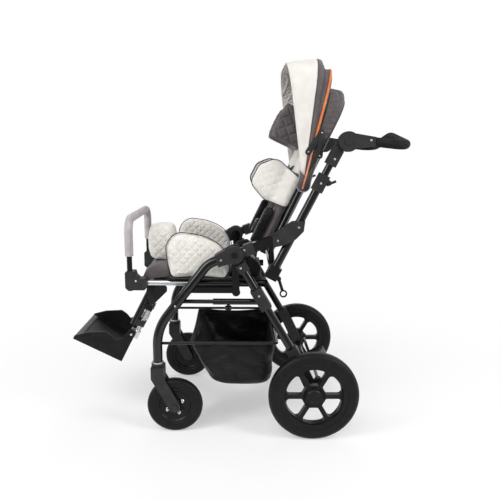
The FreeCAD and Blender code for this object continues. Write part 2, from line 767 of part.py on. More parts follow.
def upper_push_tube():
    return straight_tube(PUSH_X, push_at(20), push_at(300), UPPER_PUSH_R, UPPER_PUSH_R - WALL)


def handle_socket():
    body = slab(JOIN, PUSH_ANGLE, 243, 316, -18, 18, PUSH_X - 16, PUSH_X + 17)
    body = body.cut(bar(HUB, PUSH_X - 0.2, PUSH_X + 38, HUB_R + 2))
    body = body.fuse(bar(HUB, PUSH_X - 16, PUSH_X - 0.2, HUB_R - 2))
    body = body.fuse(bar(HUB, PUSH_X - 5, PUSH_X + 10, 8.0))
    return body.cut(rod(PUSH_X, push_at(230), push_at(300.3), UPPER_PUSH_R + SLIP))


def hub_at(along, up):
    return (HUB[0] + along, HUB[1] + up)


HANDLE_START = hub_at(54, 3)
HANDLE_CORNER = hub_at(196, -12)
HANDLE_MIDDLE = hub_at(199, 26)


def handle_arm():
    outline = [hub_at(0, -24), hub_at(30, -21), hub_at(86, -15), hub_at(86, 15), hub_at(30, 24), hub_at(0, 28)]
    body = plate(outline, ARM_IN, ARM_OUT).fuse(bar(HUB, ARM_IN, ARM_OUT, HUB_R))
    body = body.cut(bar(HUB, ARM_IN - 1, PUSH_X + 10.5, 8.0 + RUN))
    body = body.cut(bar(HUB, ARM_OUT - 9, ARM_OUT + 1, BUTTON_R + 0.08))
    run = angle_to(HANDLE_START, HANDLE_CORNER)
    start = ahead(HANDLE_START, run, -0.3)
    return body.cut(rod(HANDLE_X, start, ahead(HANDLE_START, run, 60), HANDLE_R + SLIP))


def handle_path():
    left = [at(HANDLE_X, HANDLE_START), at(HANDLE_X, HANDLE_CORNER)]
    right = [at(-HANDLE_X, HANDLE_CORNER), at(-HANDLE_X, HANDLE_START)]
    return left + [at(0, HANDLE_MIDDLE)] + right


HANDLE_BENDS = [52, 170, 52]


def handle_tube():
    return bent_tube(handle_path(), HANDLE_BENDS, HANDLE_R, HANDLE_R - WALL)


def handle_grip():
    points = handle_path()
    run = angle_to(HANDLE_START, HANDLE_CORNER)
    grip_start = ahead(HANDLE_START, run, 33.5)
    points[0] = at(HANDLE_X, grip_start)
    points[-1] = at(-HANDLE_X, grip_start)
    return bent_tube(points, HANDLE_BENDS, GRIP_R, HANDLE_R + SLIP)


def handle_button():
    return bar(HUB, ARM_OUT - 4.5, ARM_OUT + 2, BUTTON_R)


# Backrest

def back_at(along, off):
    return ahead(RECLINE, BACK_ANGLE, along, off)


def backrest_frame():
    left = [at(BACK_X, back_at(0, 0)), at(BACK_X, back_at(62, BACK_OFF)), at(BACK_X, back_at(BACK_LENGTH, BACK_OFF))]
    points = left + [Vector(-p.x, p.y, p.z) for p in reversed(left)]
    bends = [40, 60, 60, 40]
    body = pipe(points, bends, BACK_R)
    for x0 in (BACK_X - 12, -BACK_X - 12):
        body = body.fuse(bar(RECLINE, x0, x0 + 24, 16.0))
    body = body.cut(pipe(points, bends, BACK_R - WALL))
    for side in (-1, 1):
        pin = bar(CANOPY_PIVOT, BACK_X + 6, BACK_X + 23, 6.0)
        pin = pin.fuse(bar(CANOPY_PIVOT, BACK_X + 20.9, BACK_X + 23, 9.0))
        body = body.fuse(pin if side > 0 else mirrored(pin))
    return body.cut(bar(RECLINE, -BACK_X - 25, BACK_X + 25, 10.0 + RUN))


def backrest_pad():
    w = BACK_X - 14
    top = BACK_LENGTH + 20
    corners = [(-w, 30), (w, 30), (w, top - 94), (w - 26, top), (26 - w, top), (-w, top - 94)]

    def place(a, b, t):
        return at(a, back_at(b, t))

    return cushion(corners, [30, 30, 60, 50, 50, 60], PAD_BACK, PAD_FRONT, 12, place)


def trunk_pad():
    n = PAD_FRONT + 0.4
    corners = [(n, 204), (n + 50, 200), (n + 116, 228), (n + 114, 294), (n + 74, 341), (n, 318)]

    def place(a, b, t):
        return at(t, back_at(b, a))

    def outer(a, b, t):
        return at(BACK_X - 33 - t, back_at(b, a))

    pad = cushion(corners, [16, 34, 26, 34, 30, 16], BACK_X - 78, BACK_X - 34, 9, place)
    return channels(pad, (n + 58, 272), 78, 26, 2.0, 3.0, outer)


def headrest():
    n = PAD_FRONT + 0.4
    corners = [(-136, n), (136, n), (134, n + 128), (96, n + 128), (90, n + 34)]
    corners += [(-90, n + 34), (-96, n + 128), (-134, n + 128)]

    def place(a, b, t):
        return at(a, back_at(t, b))

    return cushion(corners, [22, 22, 12, 12, 22, 22, 12, 12], 398, 520, 7, place)


# Canopy

def canopy(segment):
    half, r, first, last = segment
    inner = half - CANOPY_T
    c = CANOPY_CORNER
    k = c * (1 - math.sqrt(0.5))
    items = [(-half, 13.0), (-half, r - c), ((-half + k, r - k), (-half + c, r)), (half - c, r)]
    items += [((half - k, r - k), (half, r - c)), (half, 13.0), (inner, 13.0), (inner, r - c)]
    k = (c - CANOPY_T) * (1 - math.sqrt(0.5))
    items += [((inner - k, r - CANOPY_T - k), (half - c, r - CANOPY_T)), (c - half, r - CANOPY_T)]
    items += [((k - inner, r - CANOPY_T - k), (-inner, r - c)), (-inner, 13.0)]
    body = turned(items, CANOPY_PIVOT, last - first, first)
    for side in (-1, 1):
        ear = bar(CANOPY_PIVOT, inner, half, 16.0).cut(bar(CANOPY_PIVOT, inner, half, 6.0 + RUN))
        body = body.fuse(ear if side > 0 else mirrored(ear))
    return body


# Sliding seat front, grab bar, leg rest and footplate

def inner_rail():
    a = (INNER_RAIL_FRONT, RAIL_Z)
    b = (INNER_RAIL_BACK, RAIL_Z)
    return straight_tube(RAIL_X, a, b, INNER_RAIL_R, INNER_RAIL_R - WALL)


def pommel_bracket():
    y, z = SEAT_TUBE
    body = box(-18, 18, y - 12, y - 4, z, z + 54)
    body = body.fuse(bar(SEAT_TUBE, -18, 18, 14.0))
    return body.cut(bar(SEAT_TUBE, -20, 20, 9.0 + SLIP))


def rail_clamp():
    y = INNER_RAIL_FRONT
    low, mid, top = RAIL_Z - 20, RAIL_Z + 20, RAIL_Z + CLAMP_TOP
    outline = [(y - 20, low), (y + 36, low), (y + 44, low + 8), (y + 44, mid - 5), (y + 39, mid)]
    outline += [(y + 18, mid), (y + 8, mid + 10), (y + 4, top), (y - 24, top), (y - 28, top - 4), (y - 28, low + 8)]
    body = plate(outline, RAIL_X - 12, RAIL_X + 28)
    body = body.cut(rod(RAIL_X, (y - GAP, RAIL_Z), (y + 60, RAIL_Z), INNER_RAIL_R + SLIP))
    return body.cut(upright(GRAB_X, GRAB_Y, RAIL_Z - 40, RAIL_Z + 80, GRAB_R + RUN))


def pommel():
    y = SEAT_TUBE[0]
    corners = [(-62, y - 34), (62, y - 34), (62, y + 68), (-62, y + 68)]
    z = RAIL_Z + 54 + GAP

    def place(a, b, t):
        return Vector(a, b, t)

    return cushion(corners, [38, 38, 30, 30], z, z + 128, 14, place)


def leg_hanger():
    y, z = LEG_PIVOT
    x = LEG_TUBE_X + 15
    outline = [(y - 16, z - 4), (y - 8, z - 56), (y + 8, z - 56), (y + 56, z - 8), (y + 56, z + 6)]
    outline += [(y + 24, z + 46), (y - 4, z + 46)]
    body = plate(outline, x, x + 6).cut(bar(LEG_PIVOT, x - 13, x + 11, PIN_R + 0.1))
    return body.cut(bar(SEAT_TUBE, x - 13, x + 11, 9.0 + SLIP))


def leg_pin():
    x = LEG_TUBE_X
    body = bar(LEG_PIVOT, x - 13, x + 25, PIN_R)
    return body.fuse(bar(LEG_PIVOT, x + 21.2, x + 25, 9.0)).fuse(bar(LEG_PIVOT, x - 16, x - 13, 9.0))


def grab_path(z0):
    top = PIVOT_Z + GRAB_TOP
    left = [Vector(GRAB_X, GRAB_Y, z0), Vector(GRAB_X, GRAB_Y, top)]
    return left + [Vector(-p.x, p.y, p.z) for p in reversed(left)]


def grab_bar():
    return bent_tube(grab_path(RAIL_Z - 24), [45, 45], GRAB_R, GRAB_R - WALL)


def grab_foam():
    return bent_tube(grab_path(RAIL_Z + 96), [45, 45], GRAB_FOAM_R, GRAB_R + SLIP)


def tube_at(along, off=0.0):
    """Place along the leg rest tubes, off towards the front."""
    return ahead(LEG_PIVOT, LEG_REST_ANGLE, along, -off)


def leg_slab(s0, s1, m0, m1, x0, x1):
    return slab(LEG_PIVOT, LEG_REST_ANGLE, s0, s1, -m1, -m0, x0, x1)


def legrest_side():
    x = LEG_TUBE_X
    body = rod(x, LEG_PIVOT, tube_at(LEG_TUBE_LENGTH), LEG_TUBE_R)
    body = body.fuse(bar(LEG_PIVOT, x - 12, x + 12, 15.0))
    for s in (56, 122):
        body = body.fuse(leg_slab(s, s + 22, CARRIER_OFF - 13, 0, x - 12, x + 12))
    body = body.cut(rod(x, tube_at(20), tube_at(LEG_TUBE_LENGTH + 1), LEG_TUBE_R - WALL))
    body = body.cut(rod(x, tube_at(40, CARRIER_OFF), tube_at(160, CARRIER_OFF), CARRIER_R + RUN))
    return body.cut(bar(LEG_PIVOT, x - 20, x + 20, PIN_R + RUN))


def legrest_frame():
    cross = bar(tube_at(100), -LEG_TUBE_X, LEG_TUBE_X, 8.0)
    body = cross.fuse(legrest_side()).fuse(mirrored(legrest_side()))
    for x in (LEG_TUBE_X, -LEG_TUBE_X):
        body = body.cut(rod(x, tube_at(20), tube_at(LEG_TUBE_LENGTH + 1), LEG_TUBE_R - WALL))
    return body


def carrier():
    x = LEG_TUBE_X
    pin = TRAY_PIN[0]
    body = rod(x, tube_at(34, CARRIER_OFF), tube_at(pin, CARRIER_OFF), CARRIER_R)
    body = body.fuse(leg_slab(pin - 15, pin + 12, CARRIER_OFF - 11, 0, x - 11, x + 11))
    return body.fuse(bar(TRAY_HINGE, x + 10, TRAY_HALF_W + 2, 4.0))


def tray_side():
    s1 = TRAY_DEPTH
    outline = [(-22, s1), (TRAY_LENGTH, s1), (TRAY_LENGTH, s1 - 12), (132, s1 - 44), (76, s1 - 76), (52, s1 - 72)]
    outline += [(30, s1 - 62), (12, s1 - 84), (4, s1 - 120), (-22, s1 - 120)]
    points = [tube_at(s, m) for m, s in outline]
    return plate(points, TRAY_HALF_W - TRAY_WALL, TRAY_HALF_W)


def footplate():
    s1 = TRAY_DEPTH
    body = leg_slab(s1 - 8, s1, -8, TRAY_LENGTH, -TRAY_HALF_W, TRAY_HALF_W)
    body = body.fuse(tray_side()).fuse(mirrored(tray_side()))
    return body.cut(bar(TRAY_HINGE, -TRAY_HALF_W - 9, TRAY_HALF_W + 9, 4.0 + RUN))


def wheel_parts():
    pieces = {"caster_hub": [caster_hub()], "caster_tyre": [caster_tyre()]}
    pieces["caster_fork"] = [caster_fork(), caster_axle()]
    pieces["rear_rim"] = [rear_rim(), hub_cap()]
    pieces["rear_tyre"] = [rear_tyre()]
    pieces["front_leg"] = [front_leg()]
    pieces["rear_leg"] = [rear_leg()]
    pieces["handle_button"] = [handle_button()]
    return pieces


os.makedirs("parts", exist_ok=True)

for name, solids in wheel_parts().items():
    save(name + "_left", solids)
    save(name + "_right", [mirrored(s) for s in solids])

save("hinge_housings", both(hinge_housing()))
save("hinge_bolts", both(hinge_bolt(), strut_pin()))
save("seat_crossmembers", seat_crossmembers())
save("seat_outer_rails", both(outer_rail()))
save("seat_board", [seat_board()])
save("seat_cushion", [seat_cushion()])
save("thigh_pads", both(thigh_pad()))
save("storage_basket", [basket()])
save("basket_rod", [basket_rod()])
save("caster_collars", both(caster_collar()))
save("strut_inner", both(strut_inner()))
save("strut_outer", both(strut_outer(), strut_knob()))
save("rear_leg_sockets", both(rear_eye(), leg_sleeve()))
save("axle_brackets", both(axle_bracket()))
save("rear_axle_tube", [rear_axle_tube()])
save("brake_pedal", [brake_pedal()])
save("upper_links", both(upper_link()))
save("push_brackets", both(link_fitting(), back_bracket()))
save("push_tubes", both(push_tube()))
save("recline_axle", [recline_axle()] + both(recline_block()))
save("tube_clamps", both(tube_clamp()))
save("clamp_levers", both(clamp_lever()))
save("fold_release", both(release_loop()))
save("upper_push_tubes", both(upper_push_tube()))
save("handle_sockets", both(handle_socket()))
save("handle_arms", both(handle_arm()))
save("handle_tube", [handle_tube()])
save("handle_grip", [handle_grip()])
save("backrest_frame", [backrest_frame()])
save("backrest_pad", [backrest_pad()])
save("trunk_pads", both(trunk_pad()))
save("headrest", [headrest()])
save("canopy_front", [canopy(CANOPY_FRONT)])
save("canopy_mid", [canopy(CANOPY_MID)])
save("canopy_rear", [canopy(CANOPY_REAR)])
save("seat_inner_rails", both(inner_rail()) + [cross_tube(SEAT_TUBE, RAIL_X - INNER_RAIL_R - GAP, 9.0), pommel_bracket()])
save("rail_clamps", both(rail_clamp()))
save("pommel", [pommel()])
save("legrest_hangers", both(leg_hanger(), leg_pin()))
save("grab_bar", [grab_bar()])
save("grab_foam", [grab_foam()])
save("legrest_frame", [legrest_frame()])
save("footplate_carriers", both(carrier()))
save("footplate", [footplate()])
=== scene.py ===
import json
import math
import bmesh
import bpy
import numpy as np
from mathutils import Matrix, Vector


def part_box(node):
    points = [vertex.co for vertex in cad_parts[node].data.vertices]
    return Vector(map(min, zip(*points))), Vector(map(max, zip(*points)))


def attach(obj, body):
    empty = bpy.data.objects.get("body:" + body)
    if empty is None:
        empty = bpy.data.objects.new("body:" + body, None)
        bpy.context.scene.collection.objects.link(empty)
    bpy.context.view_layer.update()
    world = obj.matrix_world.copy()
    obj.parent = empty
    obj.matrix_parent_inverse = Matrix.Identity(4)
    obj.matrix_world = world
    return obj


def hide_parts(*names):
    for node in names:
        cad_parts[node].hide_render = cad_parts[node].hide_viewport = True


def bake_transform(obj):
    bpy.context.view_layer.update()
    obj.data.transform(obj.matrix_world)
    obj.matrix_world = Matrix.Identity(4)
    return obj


# Special needs stroller, looks. Metres, +Z up, front faces -Y, left side is +X.
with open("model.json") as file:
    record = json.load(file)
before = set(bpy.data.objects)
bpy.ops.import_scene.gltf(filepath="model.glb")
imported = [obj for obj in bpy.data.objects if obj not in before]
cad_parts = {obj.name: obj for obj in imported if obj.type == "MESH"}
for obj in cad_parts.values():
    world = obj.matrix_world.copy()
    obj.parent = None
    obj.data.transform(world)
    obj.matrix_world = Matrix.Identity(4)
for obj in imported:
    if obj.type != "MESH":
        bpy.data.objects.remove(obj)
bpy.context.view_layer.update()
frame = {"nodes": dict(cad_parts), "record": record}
NODES = frame["nodes"]

# Points and angles of the side plane, as (y, z)
RECLINE = (0.13078, 0.56299)
BACK_ANGLE = math.radians(64.5)
CANOPY = (0.2261, 0.84879)
REAR_AXLE = (0.270, 0.1525)
CASTER_AXLE = (-0.201, 0.095)
PAD_FRONT = 0.078
CANOPY_CORNER = 0.110

# Canopy segments: outer half width, radius, first and last angle
FRONT = (0.2005, 0.416, 80.5, 98.0)
MID = (0.1970, 0.388, 75.2, 79.6)
REAR = (0.1935, 0.341, 63.0, 74.0)
BAND_END = 83.7

# How far the canopy's cloth lies inside its segments, and half the width of its stretcher plates
CLOTH_INSET = 0.0015
LINK_HALF = 0.0092

# Radius of the corded seams of the pads, and depth of the quilting in the side pads and the others
SEAM_R = 0.0017
SIDE_QUILT = 0.0017
QUILT = 0.0026

SIDES = ((1, "left"), (-1, "right"))

# How far the cloth's top is rounded off at a segment's rear edge, over how many degrees, and lowered in front
ROUNDING = {FRONT: (0.018, 2.2, 0.013), MID: (0.014, 1.8, 0.0), REAR: (0.028, 4.5, 0.008)}

# Camera fitted to the wheels of the photograph
EYE = Vector((1.898, 0.021, 0.951))
PITCH, YAW, ROLL = (math.radians(a) for a in (10.6, 1.1, 0.5))
LENS = 37.3


def back_at(x, along, off):
    """Point of the backrest: along it from the recline axle, and off it to the front."""
    c, s = math.cos(BACK_ANGLE), math.sin(BACK_ANGLE)
    return Vector((x, RECLINE[0] + along * c - off * s, RECLINE[1] + along * s + off * c))


def canopy_at(x, r, angle):
    a = math.radians(angle)
    return Vector((x, CANOPY[0] + r * math.cos(a), CANOPY[1] + r * math.sin(a)))


# Materials

class Finish:
    """A node material whose colour, roughness and bump vary over the surface."""

    def __init__(self, name, dark, light, scale, rough, metal=0.0, specular=0.5):
        self.material = bpy.data.materials.new(name)
        self.material.use_nodes = True
        self.nodes = self.material.node_tree.nodes
        self.links = self.material.node_tree.links
        self.shader = self.nodes["Principled BSDF"]
        self.shader.inputs["Metallic"].default_value = metal
        self.shader.inputs["Specular IOR Level"].default_value = specular
        self.place = self.nodes.new("ShaderNodeTexCoord").outputs["Object"]
        cloud = self.noise(scale, 4.0)
        self.ramp(cloud, dark, light, "Base Color")
        self.range(self.noise(scale * 2.3, 3.0), rough[0], rough[1], "Roughness")
        self.height = None

    def noise(self, scale, detail=2.0, stretch=(1.0, 1.0, 1.0)):
        mapping = self.nodes.new("ShaderNodeMapping")
        mapping.inputs["Scale"].default_value = stretch
        self.links.new(self.place, mapping.inputs["Vector"])
        node = self.nodes.new("ShaderNodeTexNoise")
        node.inputs["Scale"].default_value = scale
        node.inputs["Detail"].default_value = detail
        self.links.new(mapping.outputs["Vector"], node.inputs["Vector"])
        return node.outputs["Fac"]

    def bands(self, scale, turn):
        mapping = self.nodes.new("ShaderNodeMapping")
        mapping.inputs["Rotation"].default_value = turn
        self.links.new(self.place, mapping.inputs["Vector"])
        node = self.nodes.new("ShaderNodeTexWave")
        node.inputs["Scale"].default_value = scale
        node.inputs["Distortion"].default_value = 0.6
        self.links.new(mapping.outputs["Vector"], node.inputs["Vector"])
        return node.outputs["Fac"]

    def math(self, operation, a, b):
        node = self.nodes.new("ShaderNodeMath")
        node.operation = operation
        for socket, value in zip(node.inputs, (a, b)):
            if isinstance(value, (int, float)):
                socket.default_value = value
            else:
                self.links.new(value, socket)
        return node.outputs["Value"]

    def ramp(self, source, dark, light, target):
        node = self.nodes.new("ShaderNodeValToRGB")
        node.color_ramp.elements[0].position = 0.3
        node.color_ramp.elements[1].position = 0.7
        node.color_ramp.elements[0].color = (*dark, 1.0)
        node.color_ramp.elements[1].color = (*light, 1.0)
        self.links.new(source, node.inputs["Fac"])
        self.links.new(node.outputs["Color"], self.shader.inputs[target])

    def range(self, source, low, high, target):
        node = self.nodes.new("ShaderNodeMapRange")
        node.inputs["To Min"].default_value = low
        node.inputs["To Max"].default_value = high
        self.links.new(source, node.inputs["Value"])
        self.links.new(node.outputs["Result"], self.shader.inputs[target])

    def bump(self, source, distance, strength=1.0):
        node = self.nodes.new("ShaderNodeBump")
        node.inputs["Strength"].default_value = strength
        node.inputs["Distance"].default_value = distance
        self.links.new(source, node.inputs["Height"])
        if self.height is not None:
            self.links.new(self.height, node.inputs["Normal"])
        self.height = node.outputs["Normal"]
        self.links.new(self.height, self.shader.inputs["Normal"])
        return self


def painted(name, dark, light):
    f = Finish(name, dark, light, 14.0, (0.1, 0.16), 0.0, 0.4)
    f.shader.inputs["Coat Weight"].default_value = 0.2
    f.shader.inputs["Coat Roughness"].default_value = 0.05
    return f.bump(f.noise(900.0), 0.00004, 0.25).material


def moulded(name, dark, light, rough=(0.42, 0.6)):
    f = Finish(name, dark, light, 30.0, rough, 0.0, 0.2)
    f.bump(f.noise(1400.0, 3.0), 0.00012, 0.5)
    return f.bump(f.noise(90.0), 0.0002, 0.15).material


def brushed(name, dark, light, stretch):
    f = Finish(name, dark, light, 60.0, (0.2, 0.36), 1.0)
    return f.bump(f.noise(900.0, 3.0, stretch), 0.00006, 0.4).material


def tyre(name, axle, pitch):
    """Rubber with fine rings round the axle."""
    f = Finish(name, (0.003, 0.003, 0.0033), (0.007, 0.007, 0.0073), 40.0, (0.4, 0.55), 0.0, 0.22)
    split = f.nodes.new("ShaderNodeSeparateXYZ")
    f.links.new(f.place, split.inputs["Vector"])
    y = f.math("SUBTRACT", split.outputs["Y"], axle[0])
    z = f.math("SUBTRACT", split.outputs["Z"], axle[1])
    r = f.math("SQRT", f.math("ADD", f.math("MULTIPLY", y, y), f.math("MULTIPLY", z, z)), 0.0)
    rings = f.math("SINE", f.math("MULTIPLY", r, 2 * math.pi / pitch), 0.0)
    f.bump(rings, 0.0003, 0.5)
    return f.bump(f.noise(700.0, 3.0), 0.0002, 0.5).material


def woven(name, dark, light, rough=(0.82, 0.95), thread=260.0, sheen=0.25, folds=0.0):
    f = Finish(name, dark, light, 24.0, rough, 0.0, 0.2)
    f.shader.inputs["Sheen Weight"].default_value = sheen
    f.shader.inputs["Sheen Roughness"].default_value = 0.5
    warp = f.bands(thread, (0.0, 0.6, 0.8))
    weft = f.bands(thread, (0.7, -0.5, -0.6))
    f.bump(f.math("MULTIPLY", warp, weft), 0.0004, 0.5)
    if folds:
        f.bump(f.noise(11.0, 3.0, (1.0, 1.0, 1.7)), folds, 0.7)
    return f.bump(f.noise(45.0, 4.0), 0.0012, 0.25).material


def foamed(name, dark, light):
    f = Finish(name, dark, light, 30.0, (0.8, 0.95), 0.0, 0.25)
    return f.bump(f.noise(1000.0, 4.0), 0.0003, 0.6).material


BLACK = painted("gloss_black", (0.0015, 0.0015, 0.0017), (0.004, 0.004, 0.0042))
PLASTIC = moulded("charcoal_plastic", (0.022, 0.022, 0.0235), (0.036, 0.036, 0.038))
DARK_PLASTIC = moulded("black_plastic", (0.005, 0.005, 0.0055), (0.011, 0.011, 0.0115), (0.35, 0.5))
GREY_PLASTIC = moulded("grey_plastic", (0.085, 0.086, 0.09), (0.12, 0.121, 0.125))
RIM = moulded("rim_plastic", (0.004, 0.004, 0.0045), (0.009, 0.009, 0.0095), (0.25, 0.4))
ALUMINIUM = brushed("aluminium", (0.62, 0.62, 0.64), (0.82, 0.82, 0.84), (1.0, 0.04, 1.0))
STEEL = brushed("steel", (0.45, 0.45, 0.46), (0.65, 0.65, 0.66), (0.1, 1.0, 1.0))
REAR_TYRE = tyre("rear_tyre_rubber", REAR_AXLE, 0.006)
CASTER_TYRE = tyre("caster_tyre_rubber", CASTER_AXLE, 0.005)
CREAM = woven("cream_fabric", (0.76, 0.73, 0.68), (0.85, 0.825, 0.78))
TAUPE = woven("taupe_fabric", (0.1, 0.086, 0.089), (0.145, 0.127, 0.131))
NYLON = woven("black_fabric", (0.004, 0.004, 0.0042), (0.01, 0.0095, 0.01), (0.34, 0.5), 200.0, 0.05, 0.03)
WEBBING = woven("webbing", (0.008, 0.008, 0.009), (0.02, 0.02, 0.021), (0.6, 0.8), 420.0, 0.1)
PIPING = woven("grey_piping", (0.045, 0.043, 0.045), (0.07, 0.067, 0.07), (0.7, 0.85), 500.0)
ORANGE = woven("orange_piping", (0.75, 0.17, 0.035), (0.9, 0.26, 0.06), (0.6, 0.75), 500.0)
BINDING = woven("grey_binding", (0.32, 0.31, 0.32), (0.45, 0.44, 0.45), (0.75, 0.9), 500.0)
LINING = woven("pale_lining", (0.7, 0.665, 0.64), (0.8, 0.77, 0.745), (0.8, 0.95), 300.0)
BOARD = moulded("seat_board", (0.012, 0.012, 0.013), (0.022, 0.022, 0.023))
FOAM = foamed("grey_foam", (0.42, 0.385, 0.395), (0.55, 0.51, 0.52))
GRIP = foamed("grip_rubber", (0.008, 0.007, 0.0075), (0.018, 0.016, 0.017))
BY_SLOT = {
    "gloss_black": BLACK, "charcoal_plastic": PLASTIC, "aluminium": ALUMINIUM, "steel": STEEL,
    "rim_plastic": RIM, "seat_board": BOARD, "grey_foam": FOAM, "grip_rubber": GRIP,
}


def dress_cad():
    """Give every CAD node its finish."""
    for sub in frame["record"]["subparts"]:
        name = sub["node"]
        finish = BY_SLOT.get(sub["material_slot"], NYLON)
        if name.startswith("rear_tyre"):
            finish = REAR_TYRE
        if name.startswith("caster_tyre"):
            finish = CASTER_TYRE
        if name == "footplate":
            finish = DARK_PLASTIC
        if name in ("hinge_bolts", "fold_release"):
            finish = BLACK
        node = NODES[name]
        node.data.materials.clear()
        node.data.materials.append(finish)


# Mesh tools

def new_object(name, mesh, material, body=None):
    obj = bpy.data.objects.new(name, mesh)
    bpy.context.collection.objects.link(obj)
    mesh.materials.clear()
    mesh.materials.append(material)
    if hasattr(mesh, "polygons"):
        mesh.polygons.foreach_set("use_smooth", [True] * len(mesh.polygons))
    if body:
        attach(obj, body)
    return obj


def mesh_from(name, points, faces):
    mesh = bpy.data.meshes.new(name)
    mesh.from_pydata([tuple(p) for p in points], [], faces)
    mesh.update()
    return mesh


def face_outward(mesh):
    bm = bmesh.new()
    bm.from_mesh(mesh)
    bmesh.ops.recalc_face_normals(bm, faces=bm.faces)
    bm.to_mesh(mesh)
    bm.free()


def thicken(obj, thickness, offset=-1.0):
    thick = obj.modifiers.new("Thickness", "SOLIDIFY")
    thick.thickness = thickness
    thick.offset = offset


def refine(obj, levels):
    finer = obj.modifiers.new("Finer", "SUBSURF")
    finer.levels = levels
    finer.render_levels = levels


def grid_faces(rows, columns, closed=False):
    faces = []
    for i in range(rows - 1):
        for j in range(columns if closed else columns - 1):
            k = (j + 1) % columns
            faces.append((i * columns + j, i * columns + k, (i + 1) * columns + k, (i + 1) * columns + j))
    return faces


def baked(obj):
    """The object's mesh with its modifiers applied."""
    view = bpy.context.evaluated_depsgraph_get()
    view.update()
    old = obj.data
    obj.data = bpy.data.meshes.new_from_object(obj.evaluated_get(view))
    obj.modifiers.clear()
    bpy.data.meshes.remove(old)
    return obj


def coords(mesh):
    values = np.empty(len(mesh.vertices) * 3, np.float32)
    mesh.vertices.foreach_get("co", values)
    return values.reshape(-1, 3).astype(float)


def set_coords(mesh, values):
    mesh.vertices.foreach_set("co", values.astype(np.float32).ravel())
    mesh.update()


def normals(mesh):
    values = np.empty(len(mesh.vertices) * 3, np.float32)
    mesh.vertex_normals.foreach_get("vector", values)
    return values.reshape(-1, 3).astype(float)


def tube(name, points, radius, material, body, cyclic=False):
    """A round cord along a smooth line: piping, binding or wire."""
    curve = bpy.data.curves.new(name, "CURVE")
    curve.dimensions = "3D"
    spline = curve.splines.new("NURBS")
    spline.points.add(len(points) - 1)
    for p, q in zip(spline.points, points):
        p.co = (*q, 1.0)
    spline.use_cyclic_u = cyclic
    spline.order_u = 3
    spline.use_endpoint_u = not cyclic
    curve.bevel_depth = radius
    curve.bevel_resolution = 3
    curve.use_fill_caps = True
    return new_object(name, curve, material, body)


def strap(name, points, normals_at, width, thick, material, body):
    """Flat webbing along a line, lying flat against the given normals."""
    rows = []
    for i, p in enumerate(points):
        ahead = (points[min(i + 1, len(points) - 1)] - points[max(i - 1, 0)]).normalized()
        up = normals_at[i].normalized()
        side = ahead.cross(up).normalized()
        rows += [p - side * width / 2, p - side * width / 2 + up * thick]
        rows += [p + side * width / 2 + up * thick, p + side * width / 2]
    faces = grid_faces(len(points), 4, True)
    last = 4 * (len(points) - 1)
    faces += [(3, 2, 1, 0), (last, last + 1, last + 2, last + 3)]
    obj = new_object(name, mesh_from(name, rows, faces), material, None)
    bevel = obj.modifiers.new("Edge", "BEVEL")
    bevel.width = thick * 0.3
    bevel.segments = 2
    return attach(obj, body)


# Padded pieces

def inflate(obj, cap):
    """Blow the pad up with cloth pressure, moving no point further than the cap."""
    frames = 20
    rest = coords(obj.data)
    cloth = obj.modifiers.new("Cloth", "CLOTH")
    cloth.settings.use_pressure = True
    cloth.settings.uniform_pressure_force = 4.0
    cloth.settings.effector_weights.gravity = 0.0
    cloth.settings.quality = 4
    cloth.point_cache.frame_start = 1
    cloth.point_cache.frame_end = frames
    scene = bpy.context.scene
    for f in range(1, frames + 1):
        scene.frame_set(f)
    view = bpy.context.evaluated_depsgraph_get()
    moved = coords(obj.evaluated_get(view).data) - rest
    obj.modifiers.remove(cloth)
    scene.frame_set(1)
    length = np.linalg.norm(moved, axis=1, keepdims=True)
    moved *= np.minimum(1.0, cap / np.maximum(length, 1e-9))
    set_coords(obj.data, rest + moved)


def pad_form(name, node, side, voxel, cap):
    """A pad's own mesh, grown from the space its solid holds."""
    bm = bmesh.new()
    bm.from_mesh(NODES[node].data)
    if side:
        bmesh.ops.delete(bm, geom=[v for v in bm.verts if v.co.x * side < 0], context="VERTS")
    bmesh.ops.remove_doubles(bm, verts=bm.verts, dist=0.00001)
    mesh = bpy.data.meshes.new(name)
    bm.to_mesh(mesh)
    bm.free()
    obj = bpy.data.objects.new(name, mesh)
    bpy.context.collection.objects.link(obj)
    remesh = obj.modifiers.new("Remesh", "REMESH")
    remesh.mode = "VOXEL"
    remesh.voxel_size = voxel
    baked(obj)
    soft = obj.modifiers.new("Soft", "SMOOTH")
    soft.factor = 0.5
    soft.iterations = 14
    baked(obj)
    set_coords(obj.data, coords(obj.data) - normals(obj.data) * 0.0015)
    inflate(obj, cap)
    smooth = obj.modifiers.new("Finer", "SUBSURF")
    smooth.levels = 1
    return baked(obj)


def local(points, angle, origin):
    """Coordinates across, along and off a plane leaning at an angle in the side view."""
    c, s = math.cos(angle), math.sin(angle)
    y, z = points[:, 1] - origin[0], points[:, 2] - origin[1]
    return np.stack([points[:, 0], y * c + z * s, -y * s + z * c], 1)


def quilt(obj, angle, origin, pitch, depth, outer, width=0.0028, sides=(0, 1, 2)):
    """Sew a diamond pattern of stitched lines into the pad's faces, shallower on the outer sides."""
    mesh = obj.data
    at, way = coords(mesh), normals(mesh)
    flat = local(at, angle, origin)
    lean = np.abs(local(way + [0, *origin], angle, origin))
    push = np.zeros(len(at))
    for axis in sides:
        a, b = [flat[:, i] for i in range(3) if i != axis]
        near = np.full(len(at), 1.0)
        for line in ((a + b) / math.sqrt(2), (a - b) / math.sqrt(2)):
            near = np.minimum(near, np.abs((line / pitch) % 1.0 - 0.5) * pitch)
        facing = np.clip((lean[:, axis] - 0.72) / 0.2, 0, 1)
        crown = 0.35 * depth * np.minimum(near / (pitch / 4), 1.0)
        share = np.where(way[:, 0] * at[:, 0] > 0, outer, 1.0) if axis == 0 else 1.0
        push += share * facing * (crown - depth * np.exp(-(near / width) ** 2))
    set_coords(mesh, at + way * push[:, None])


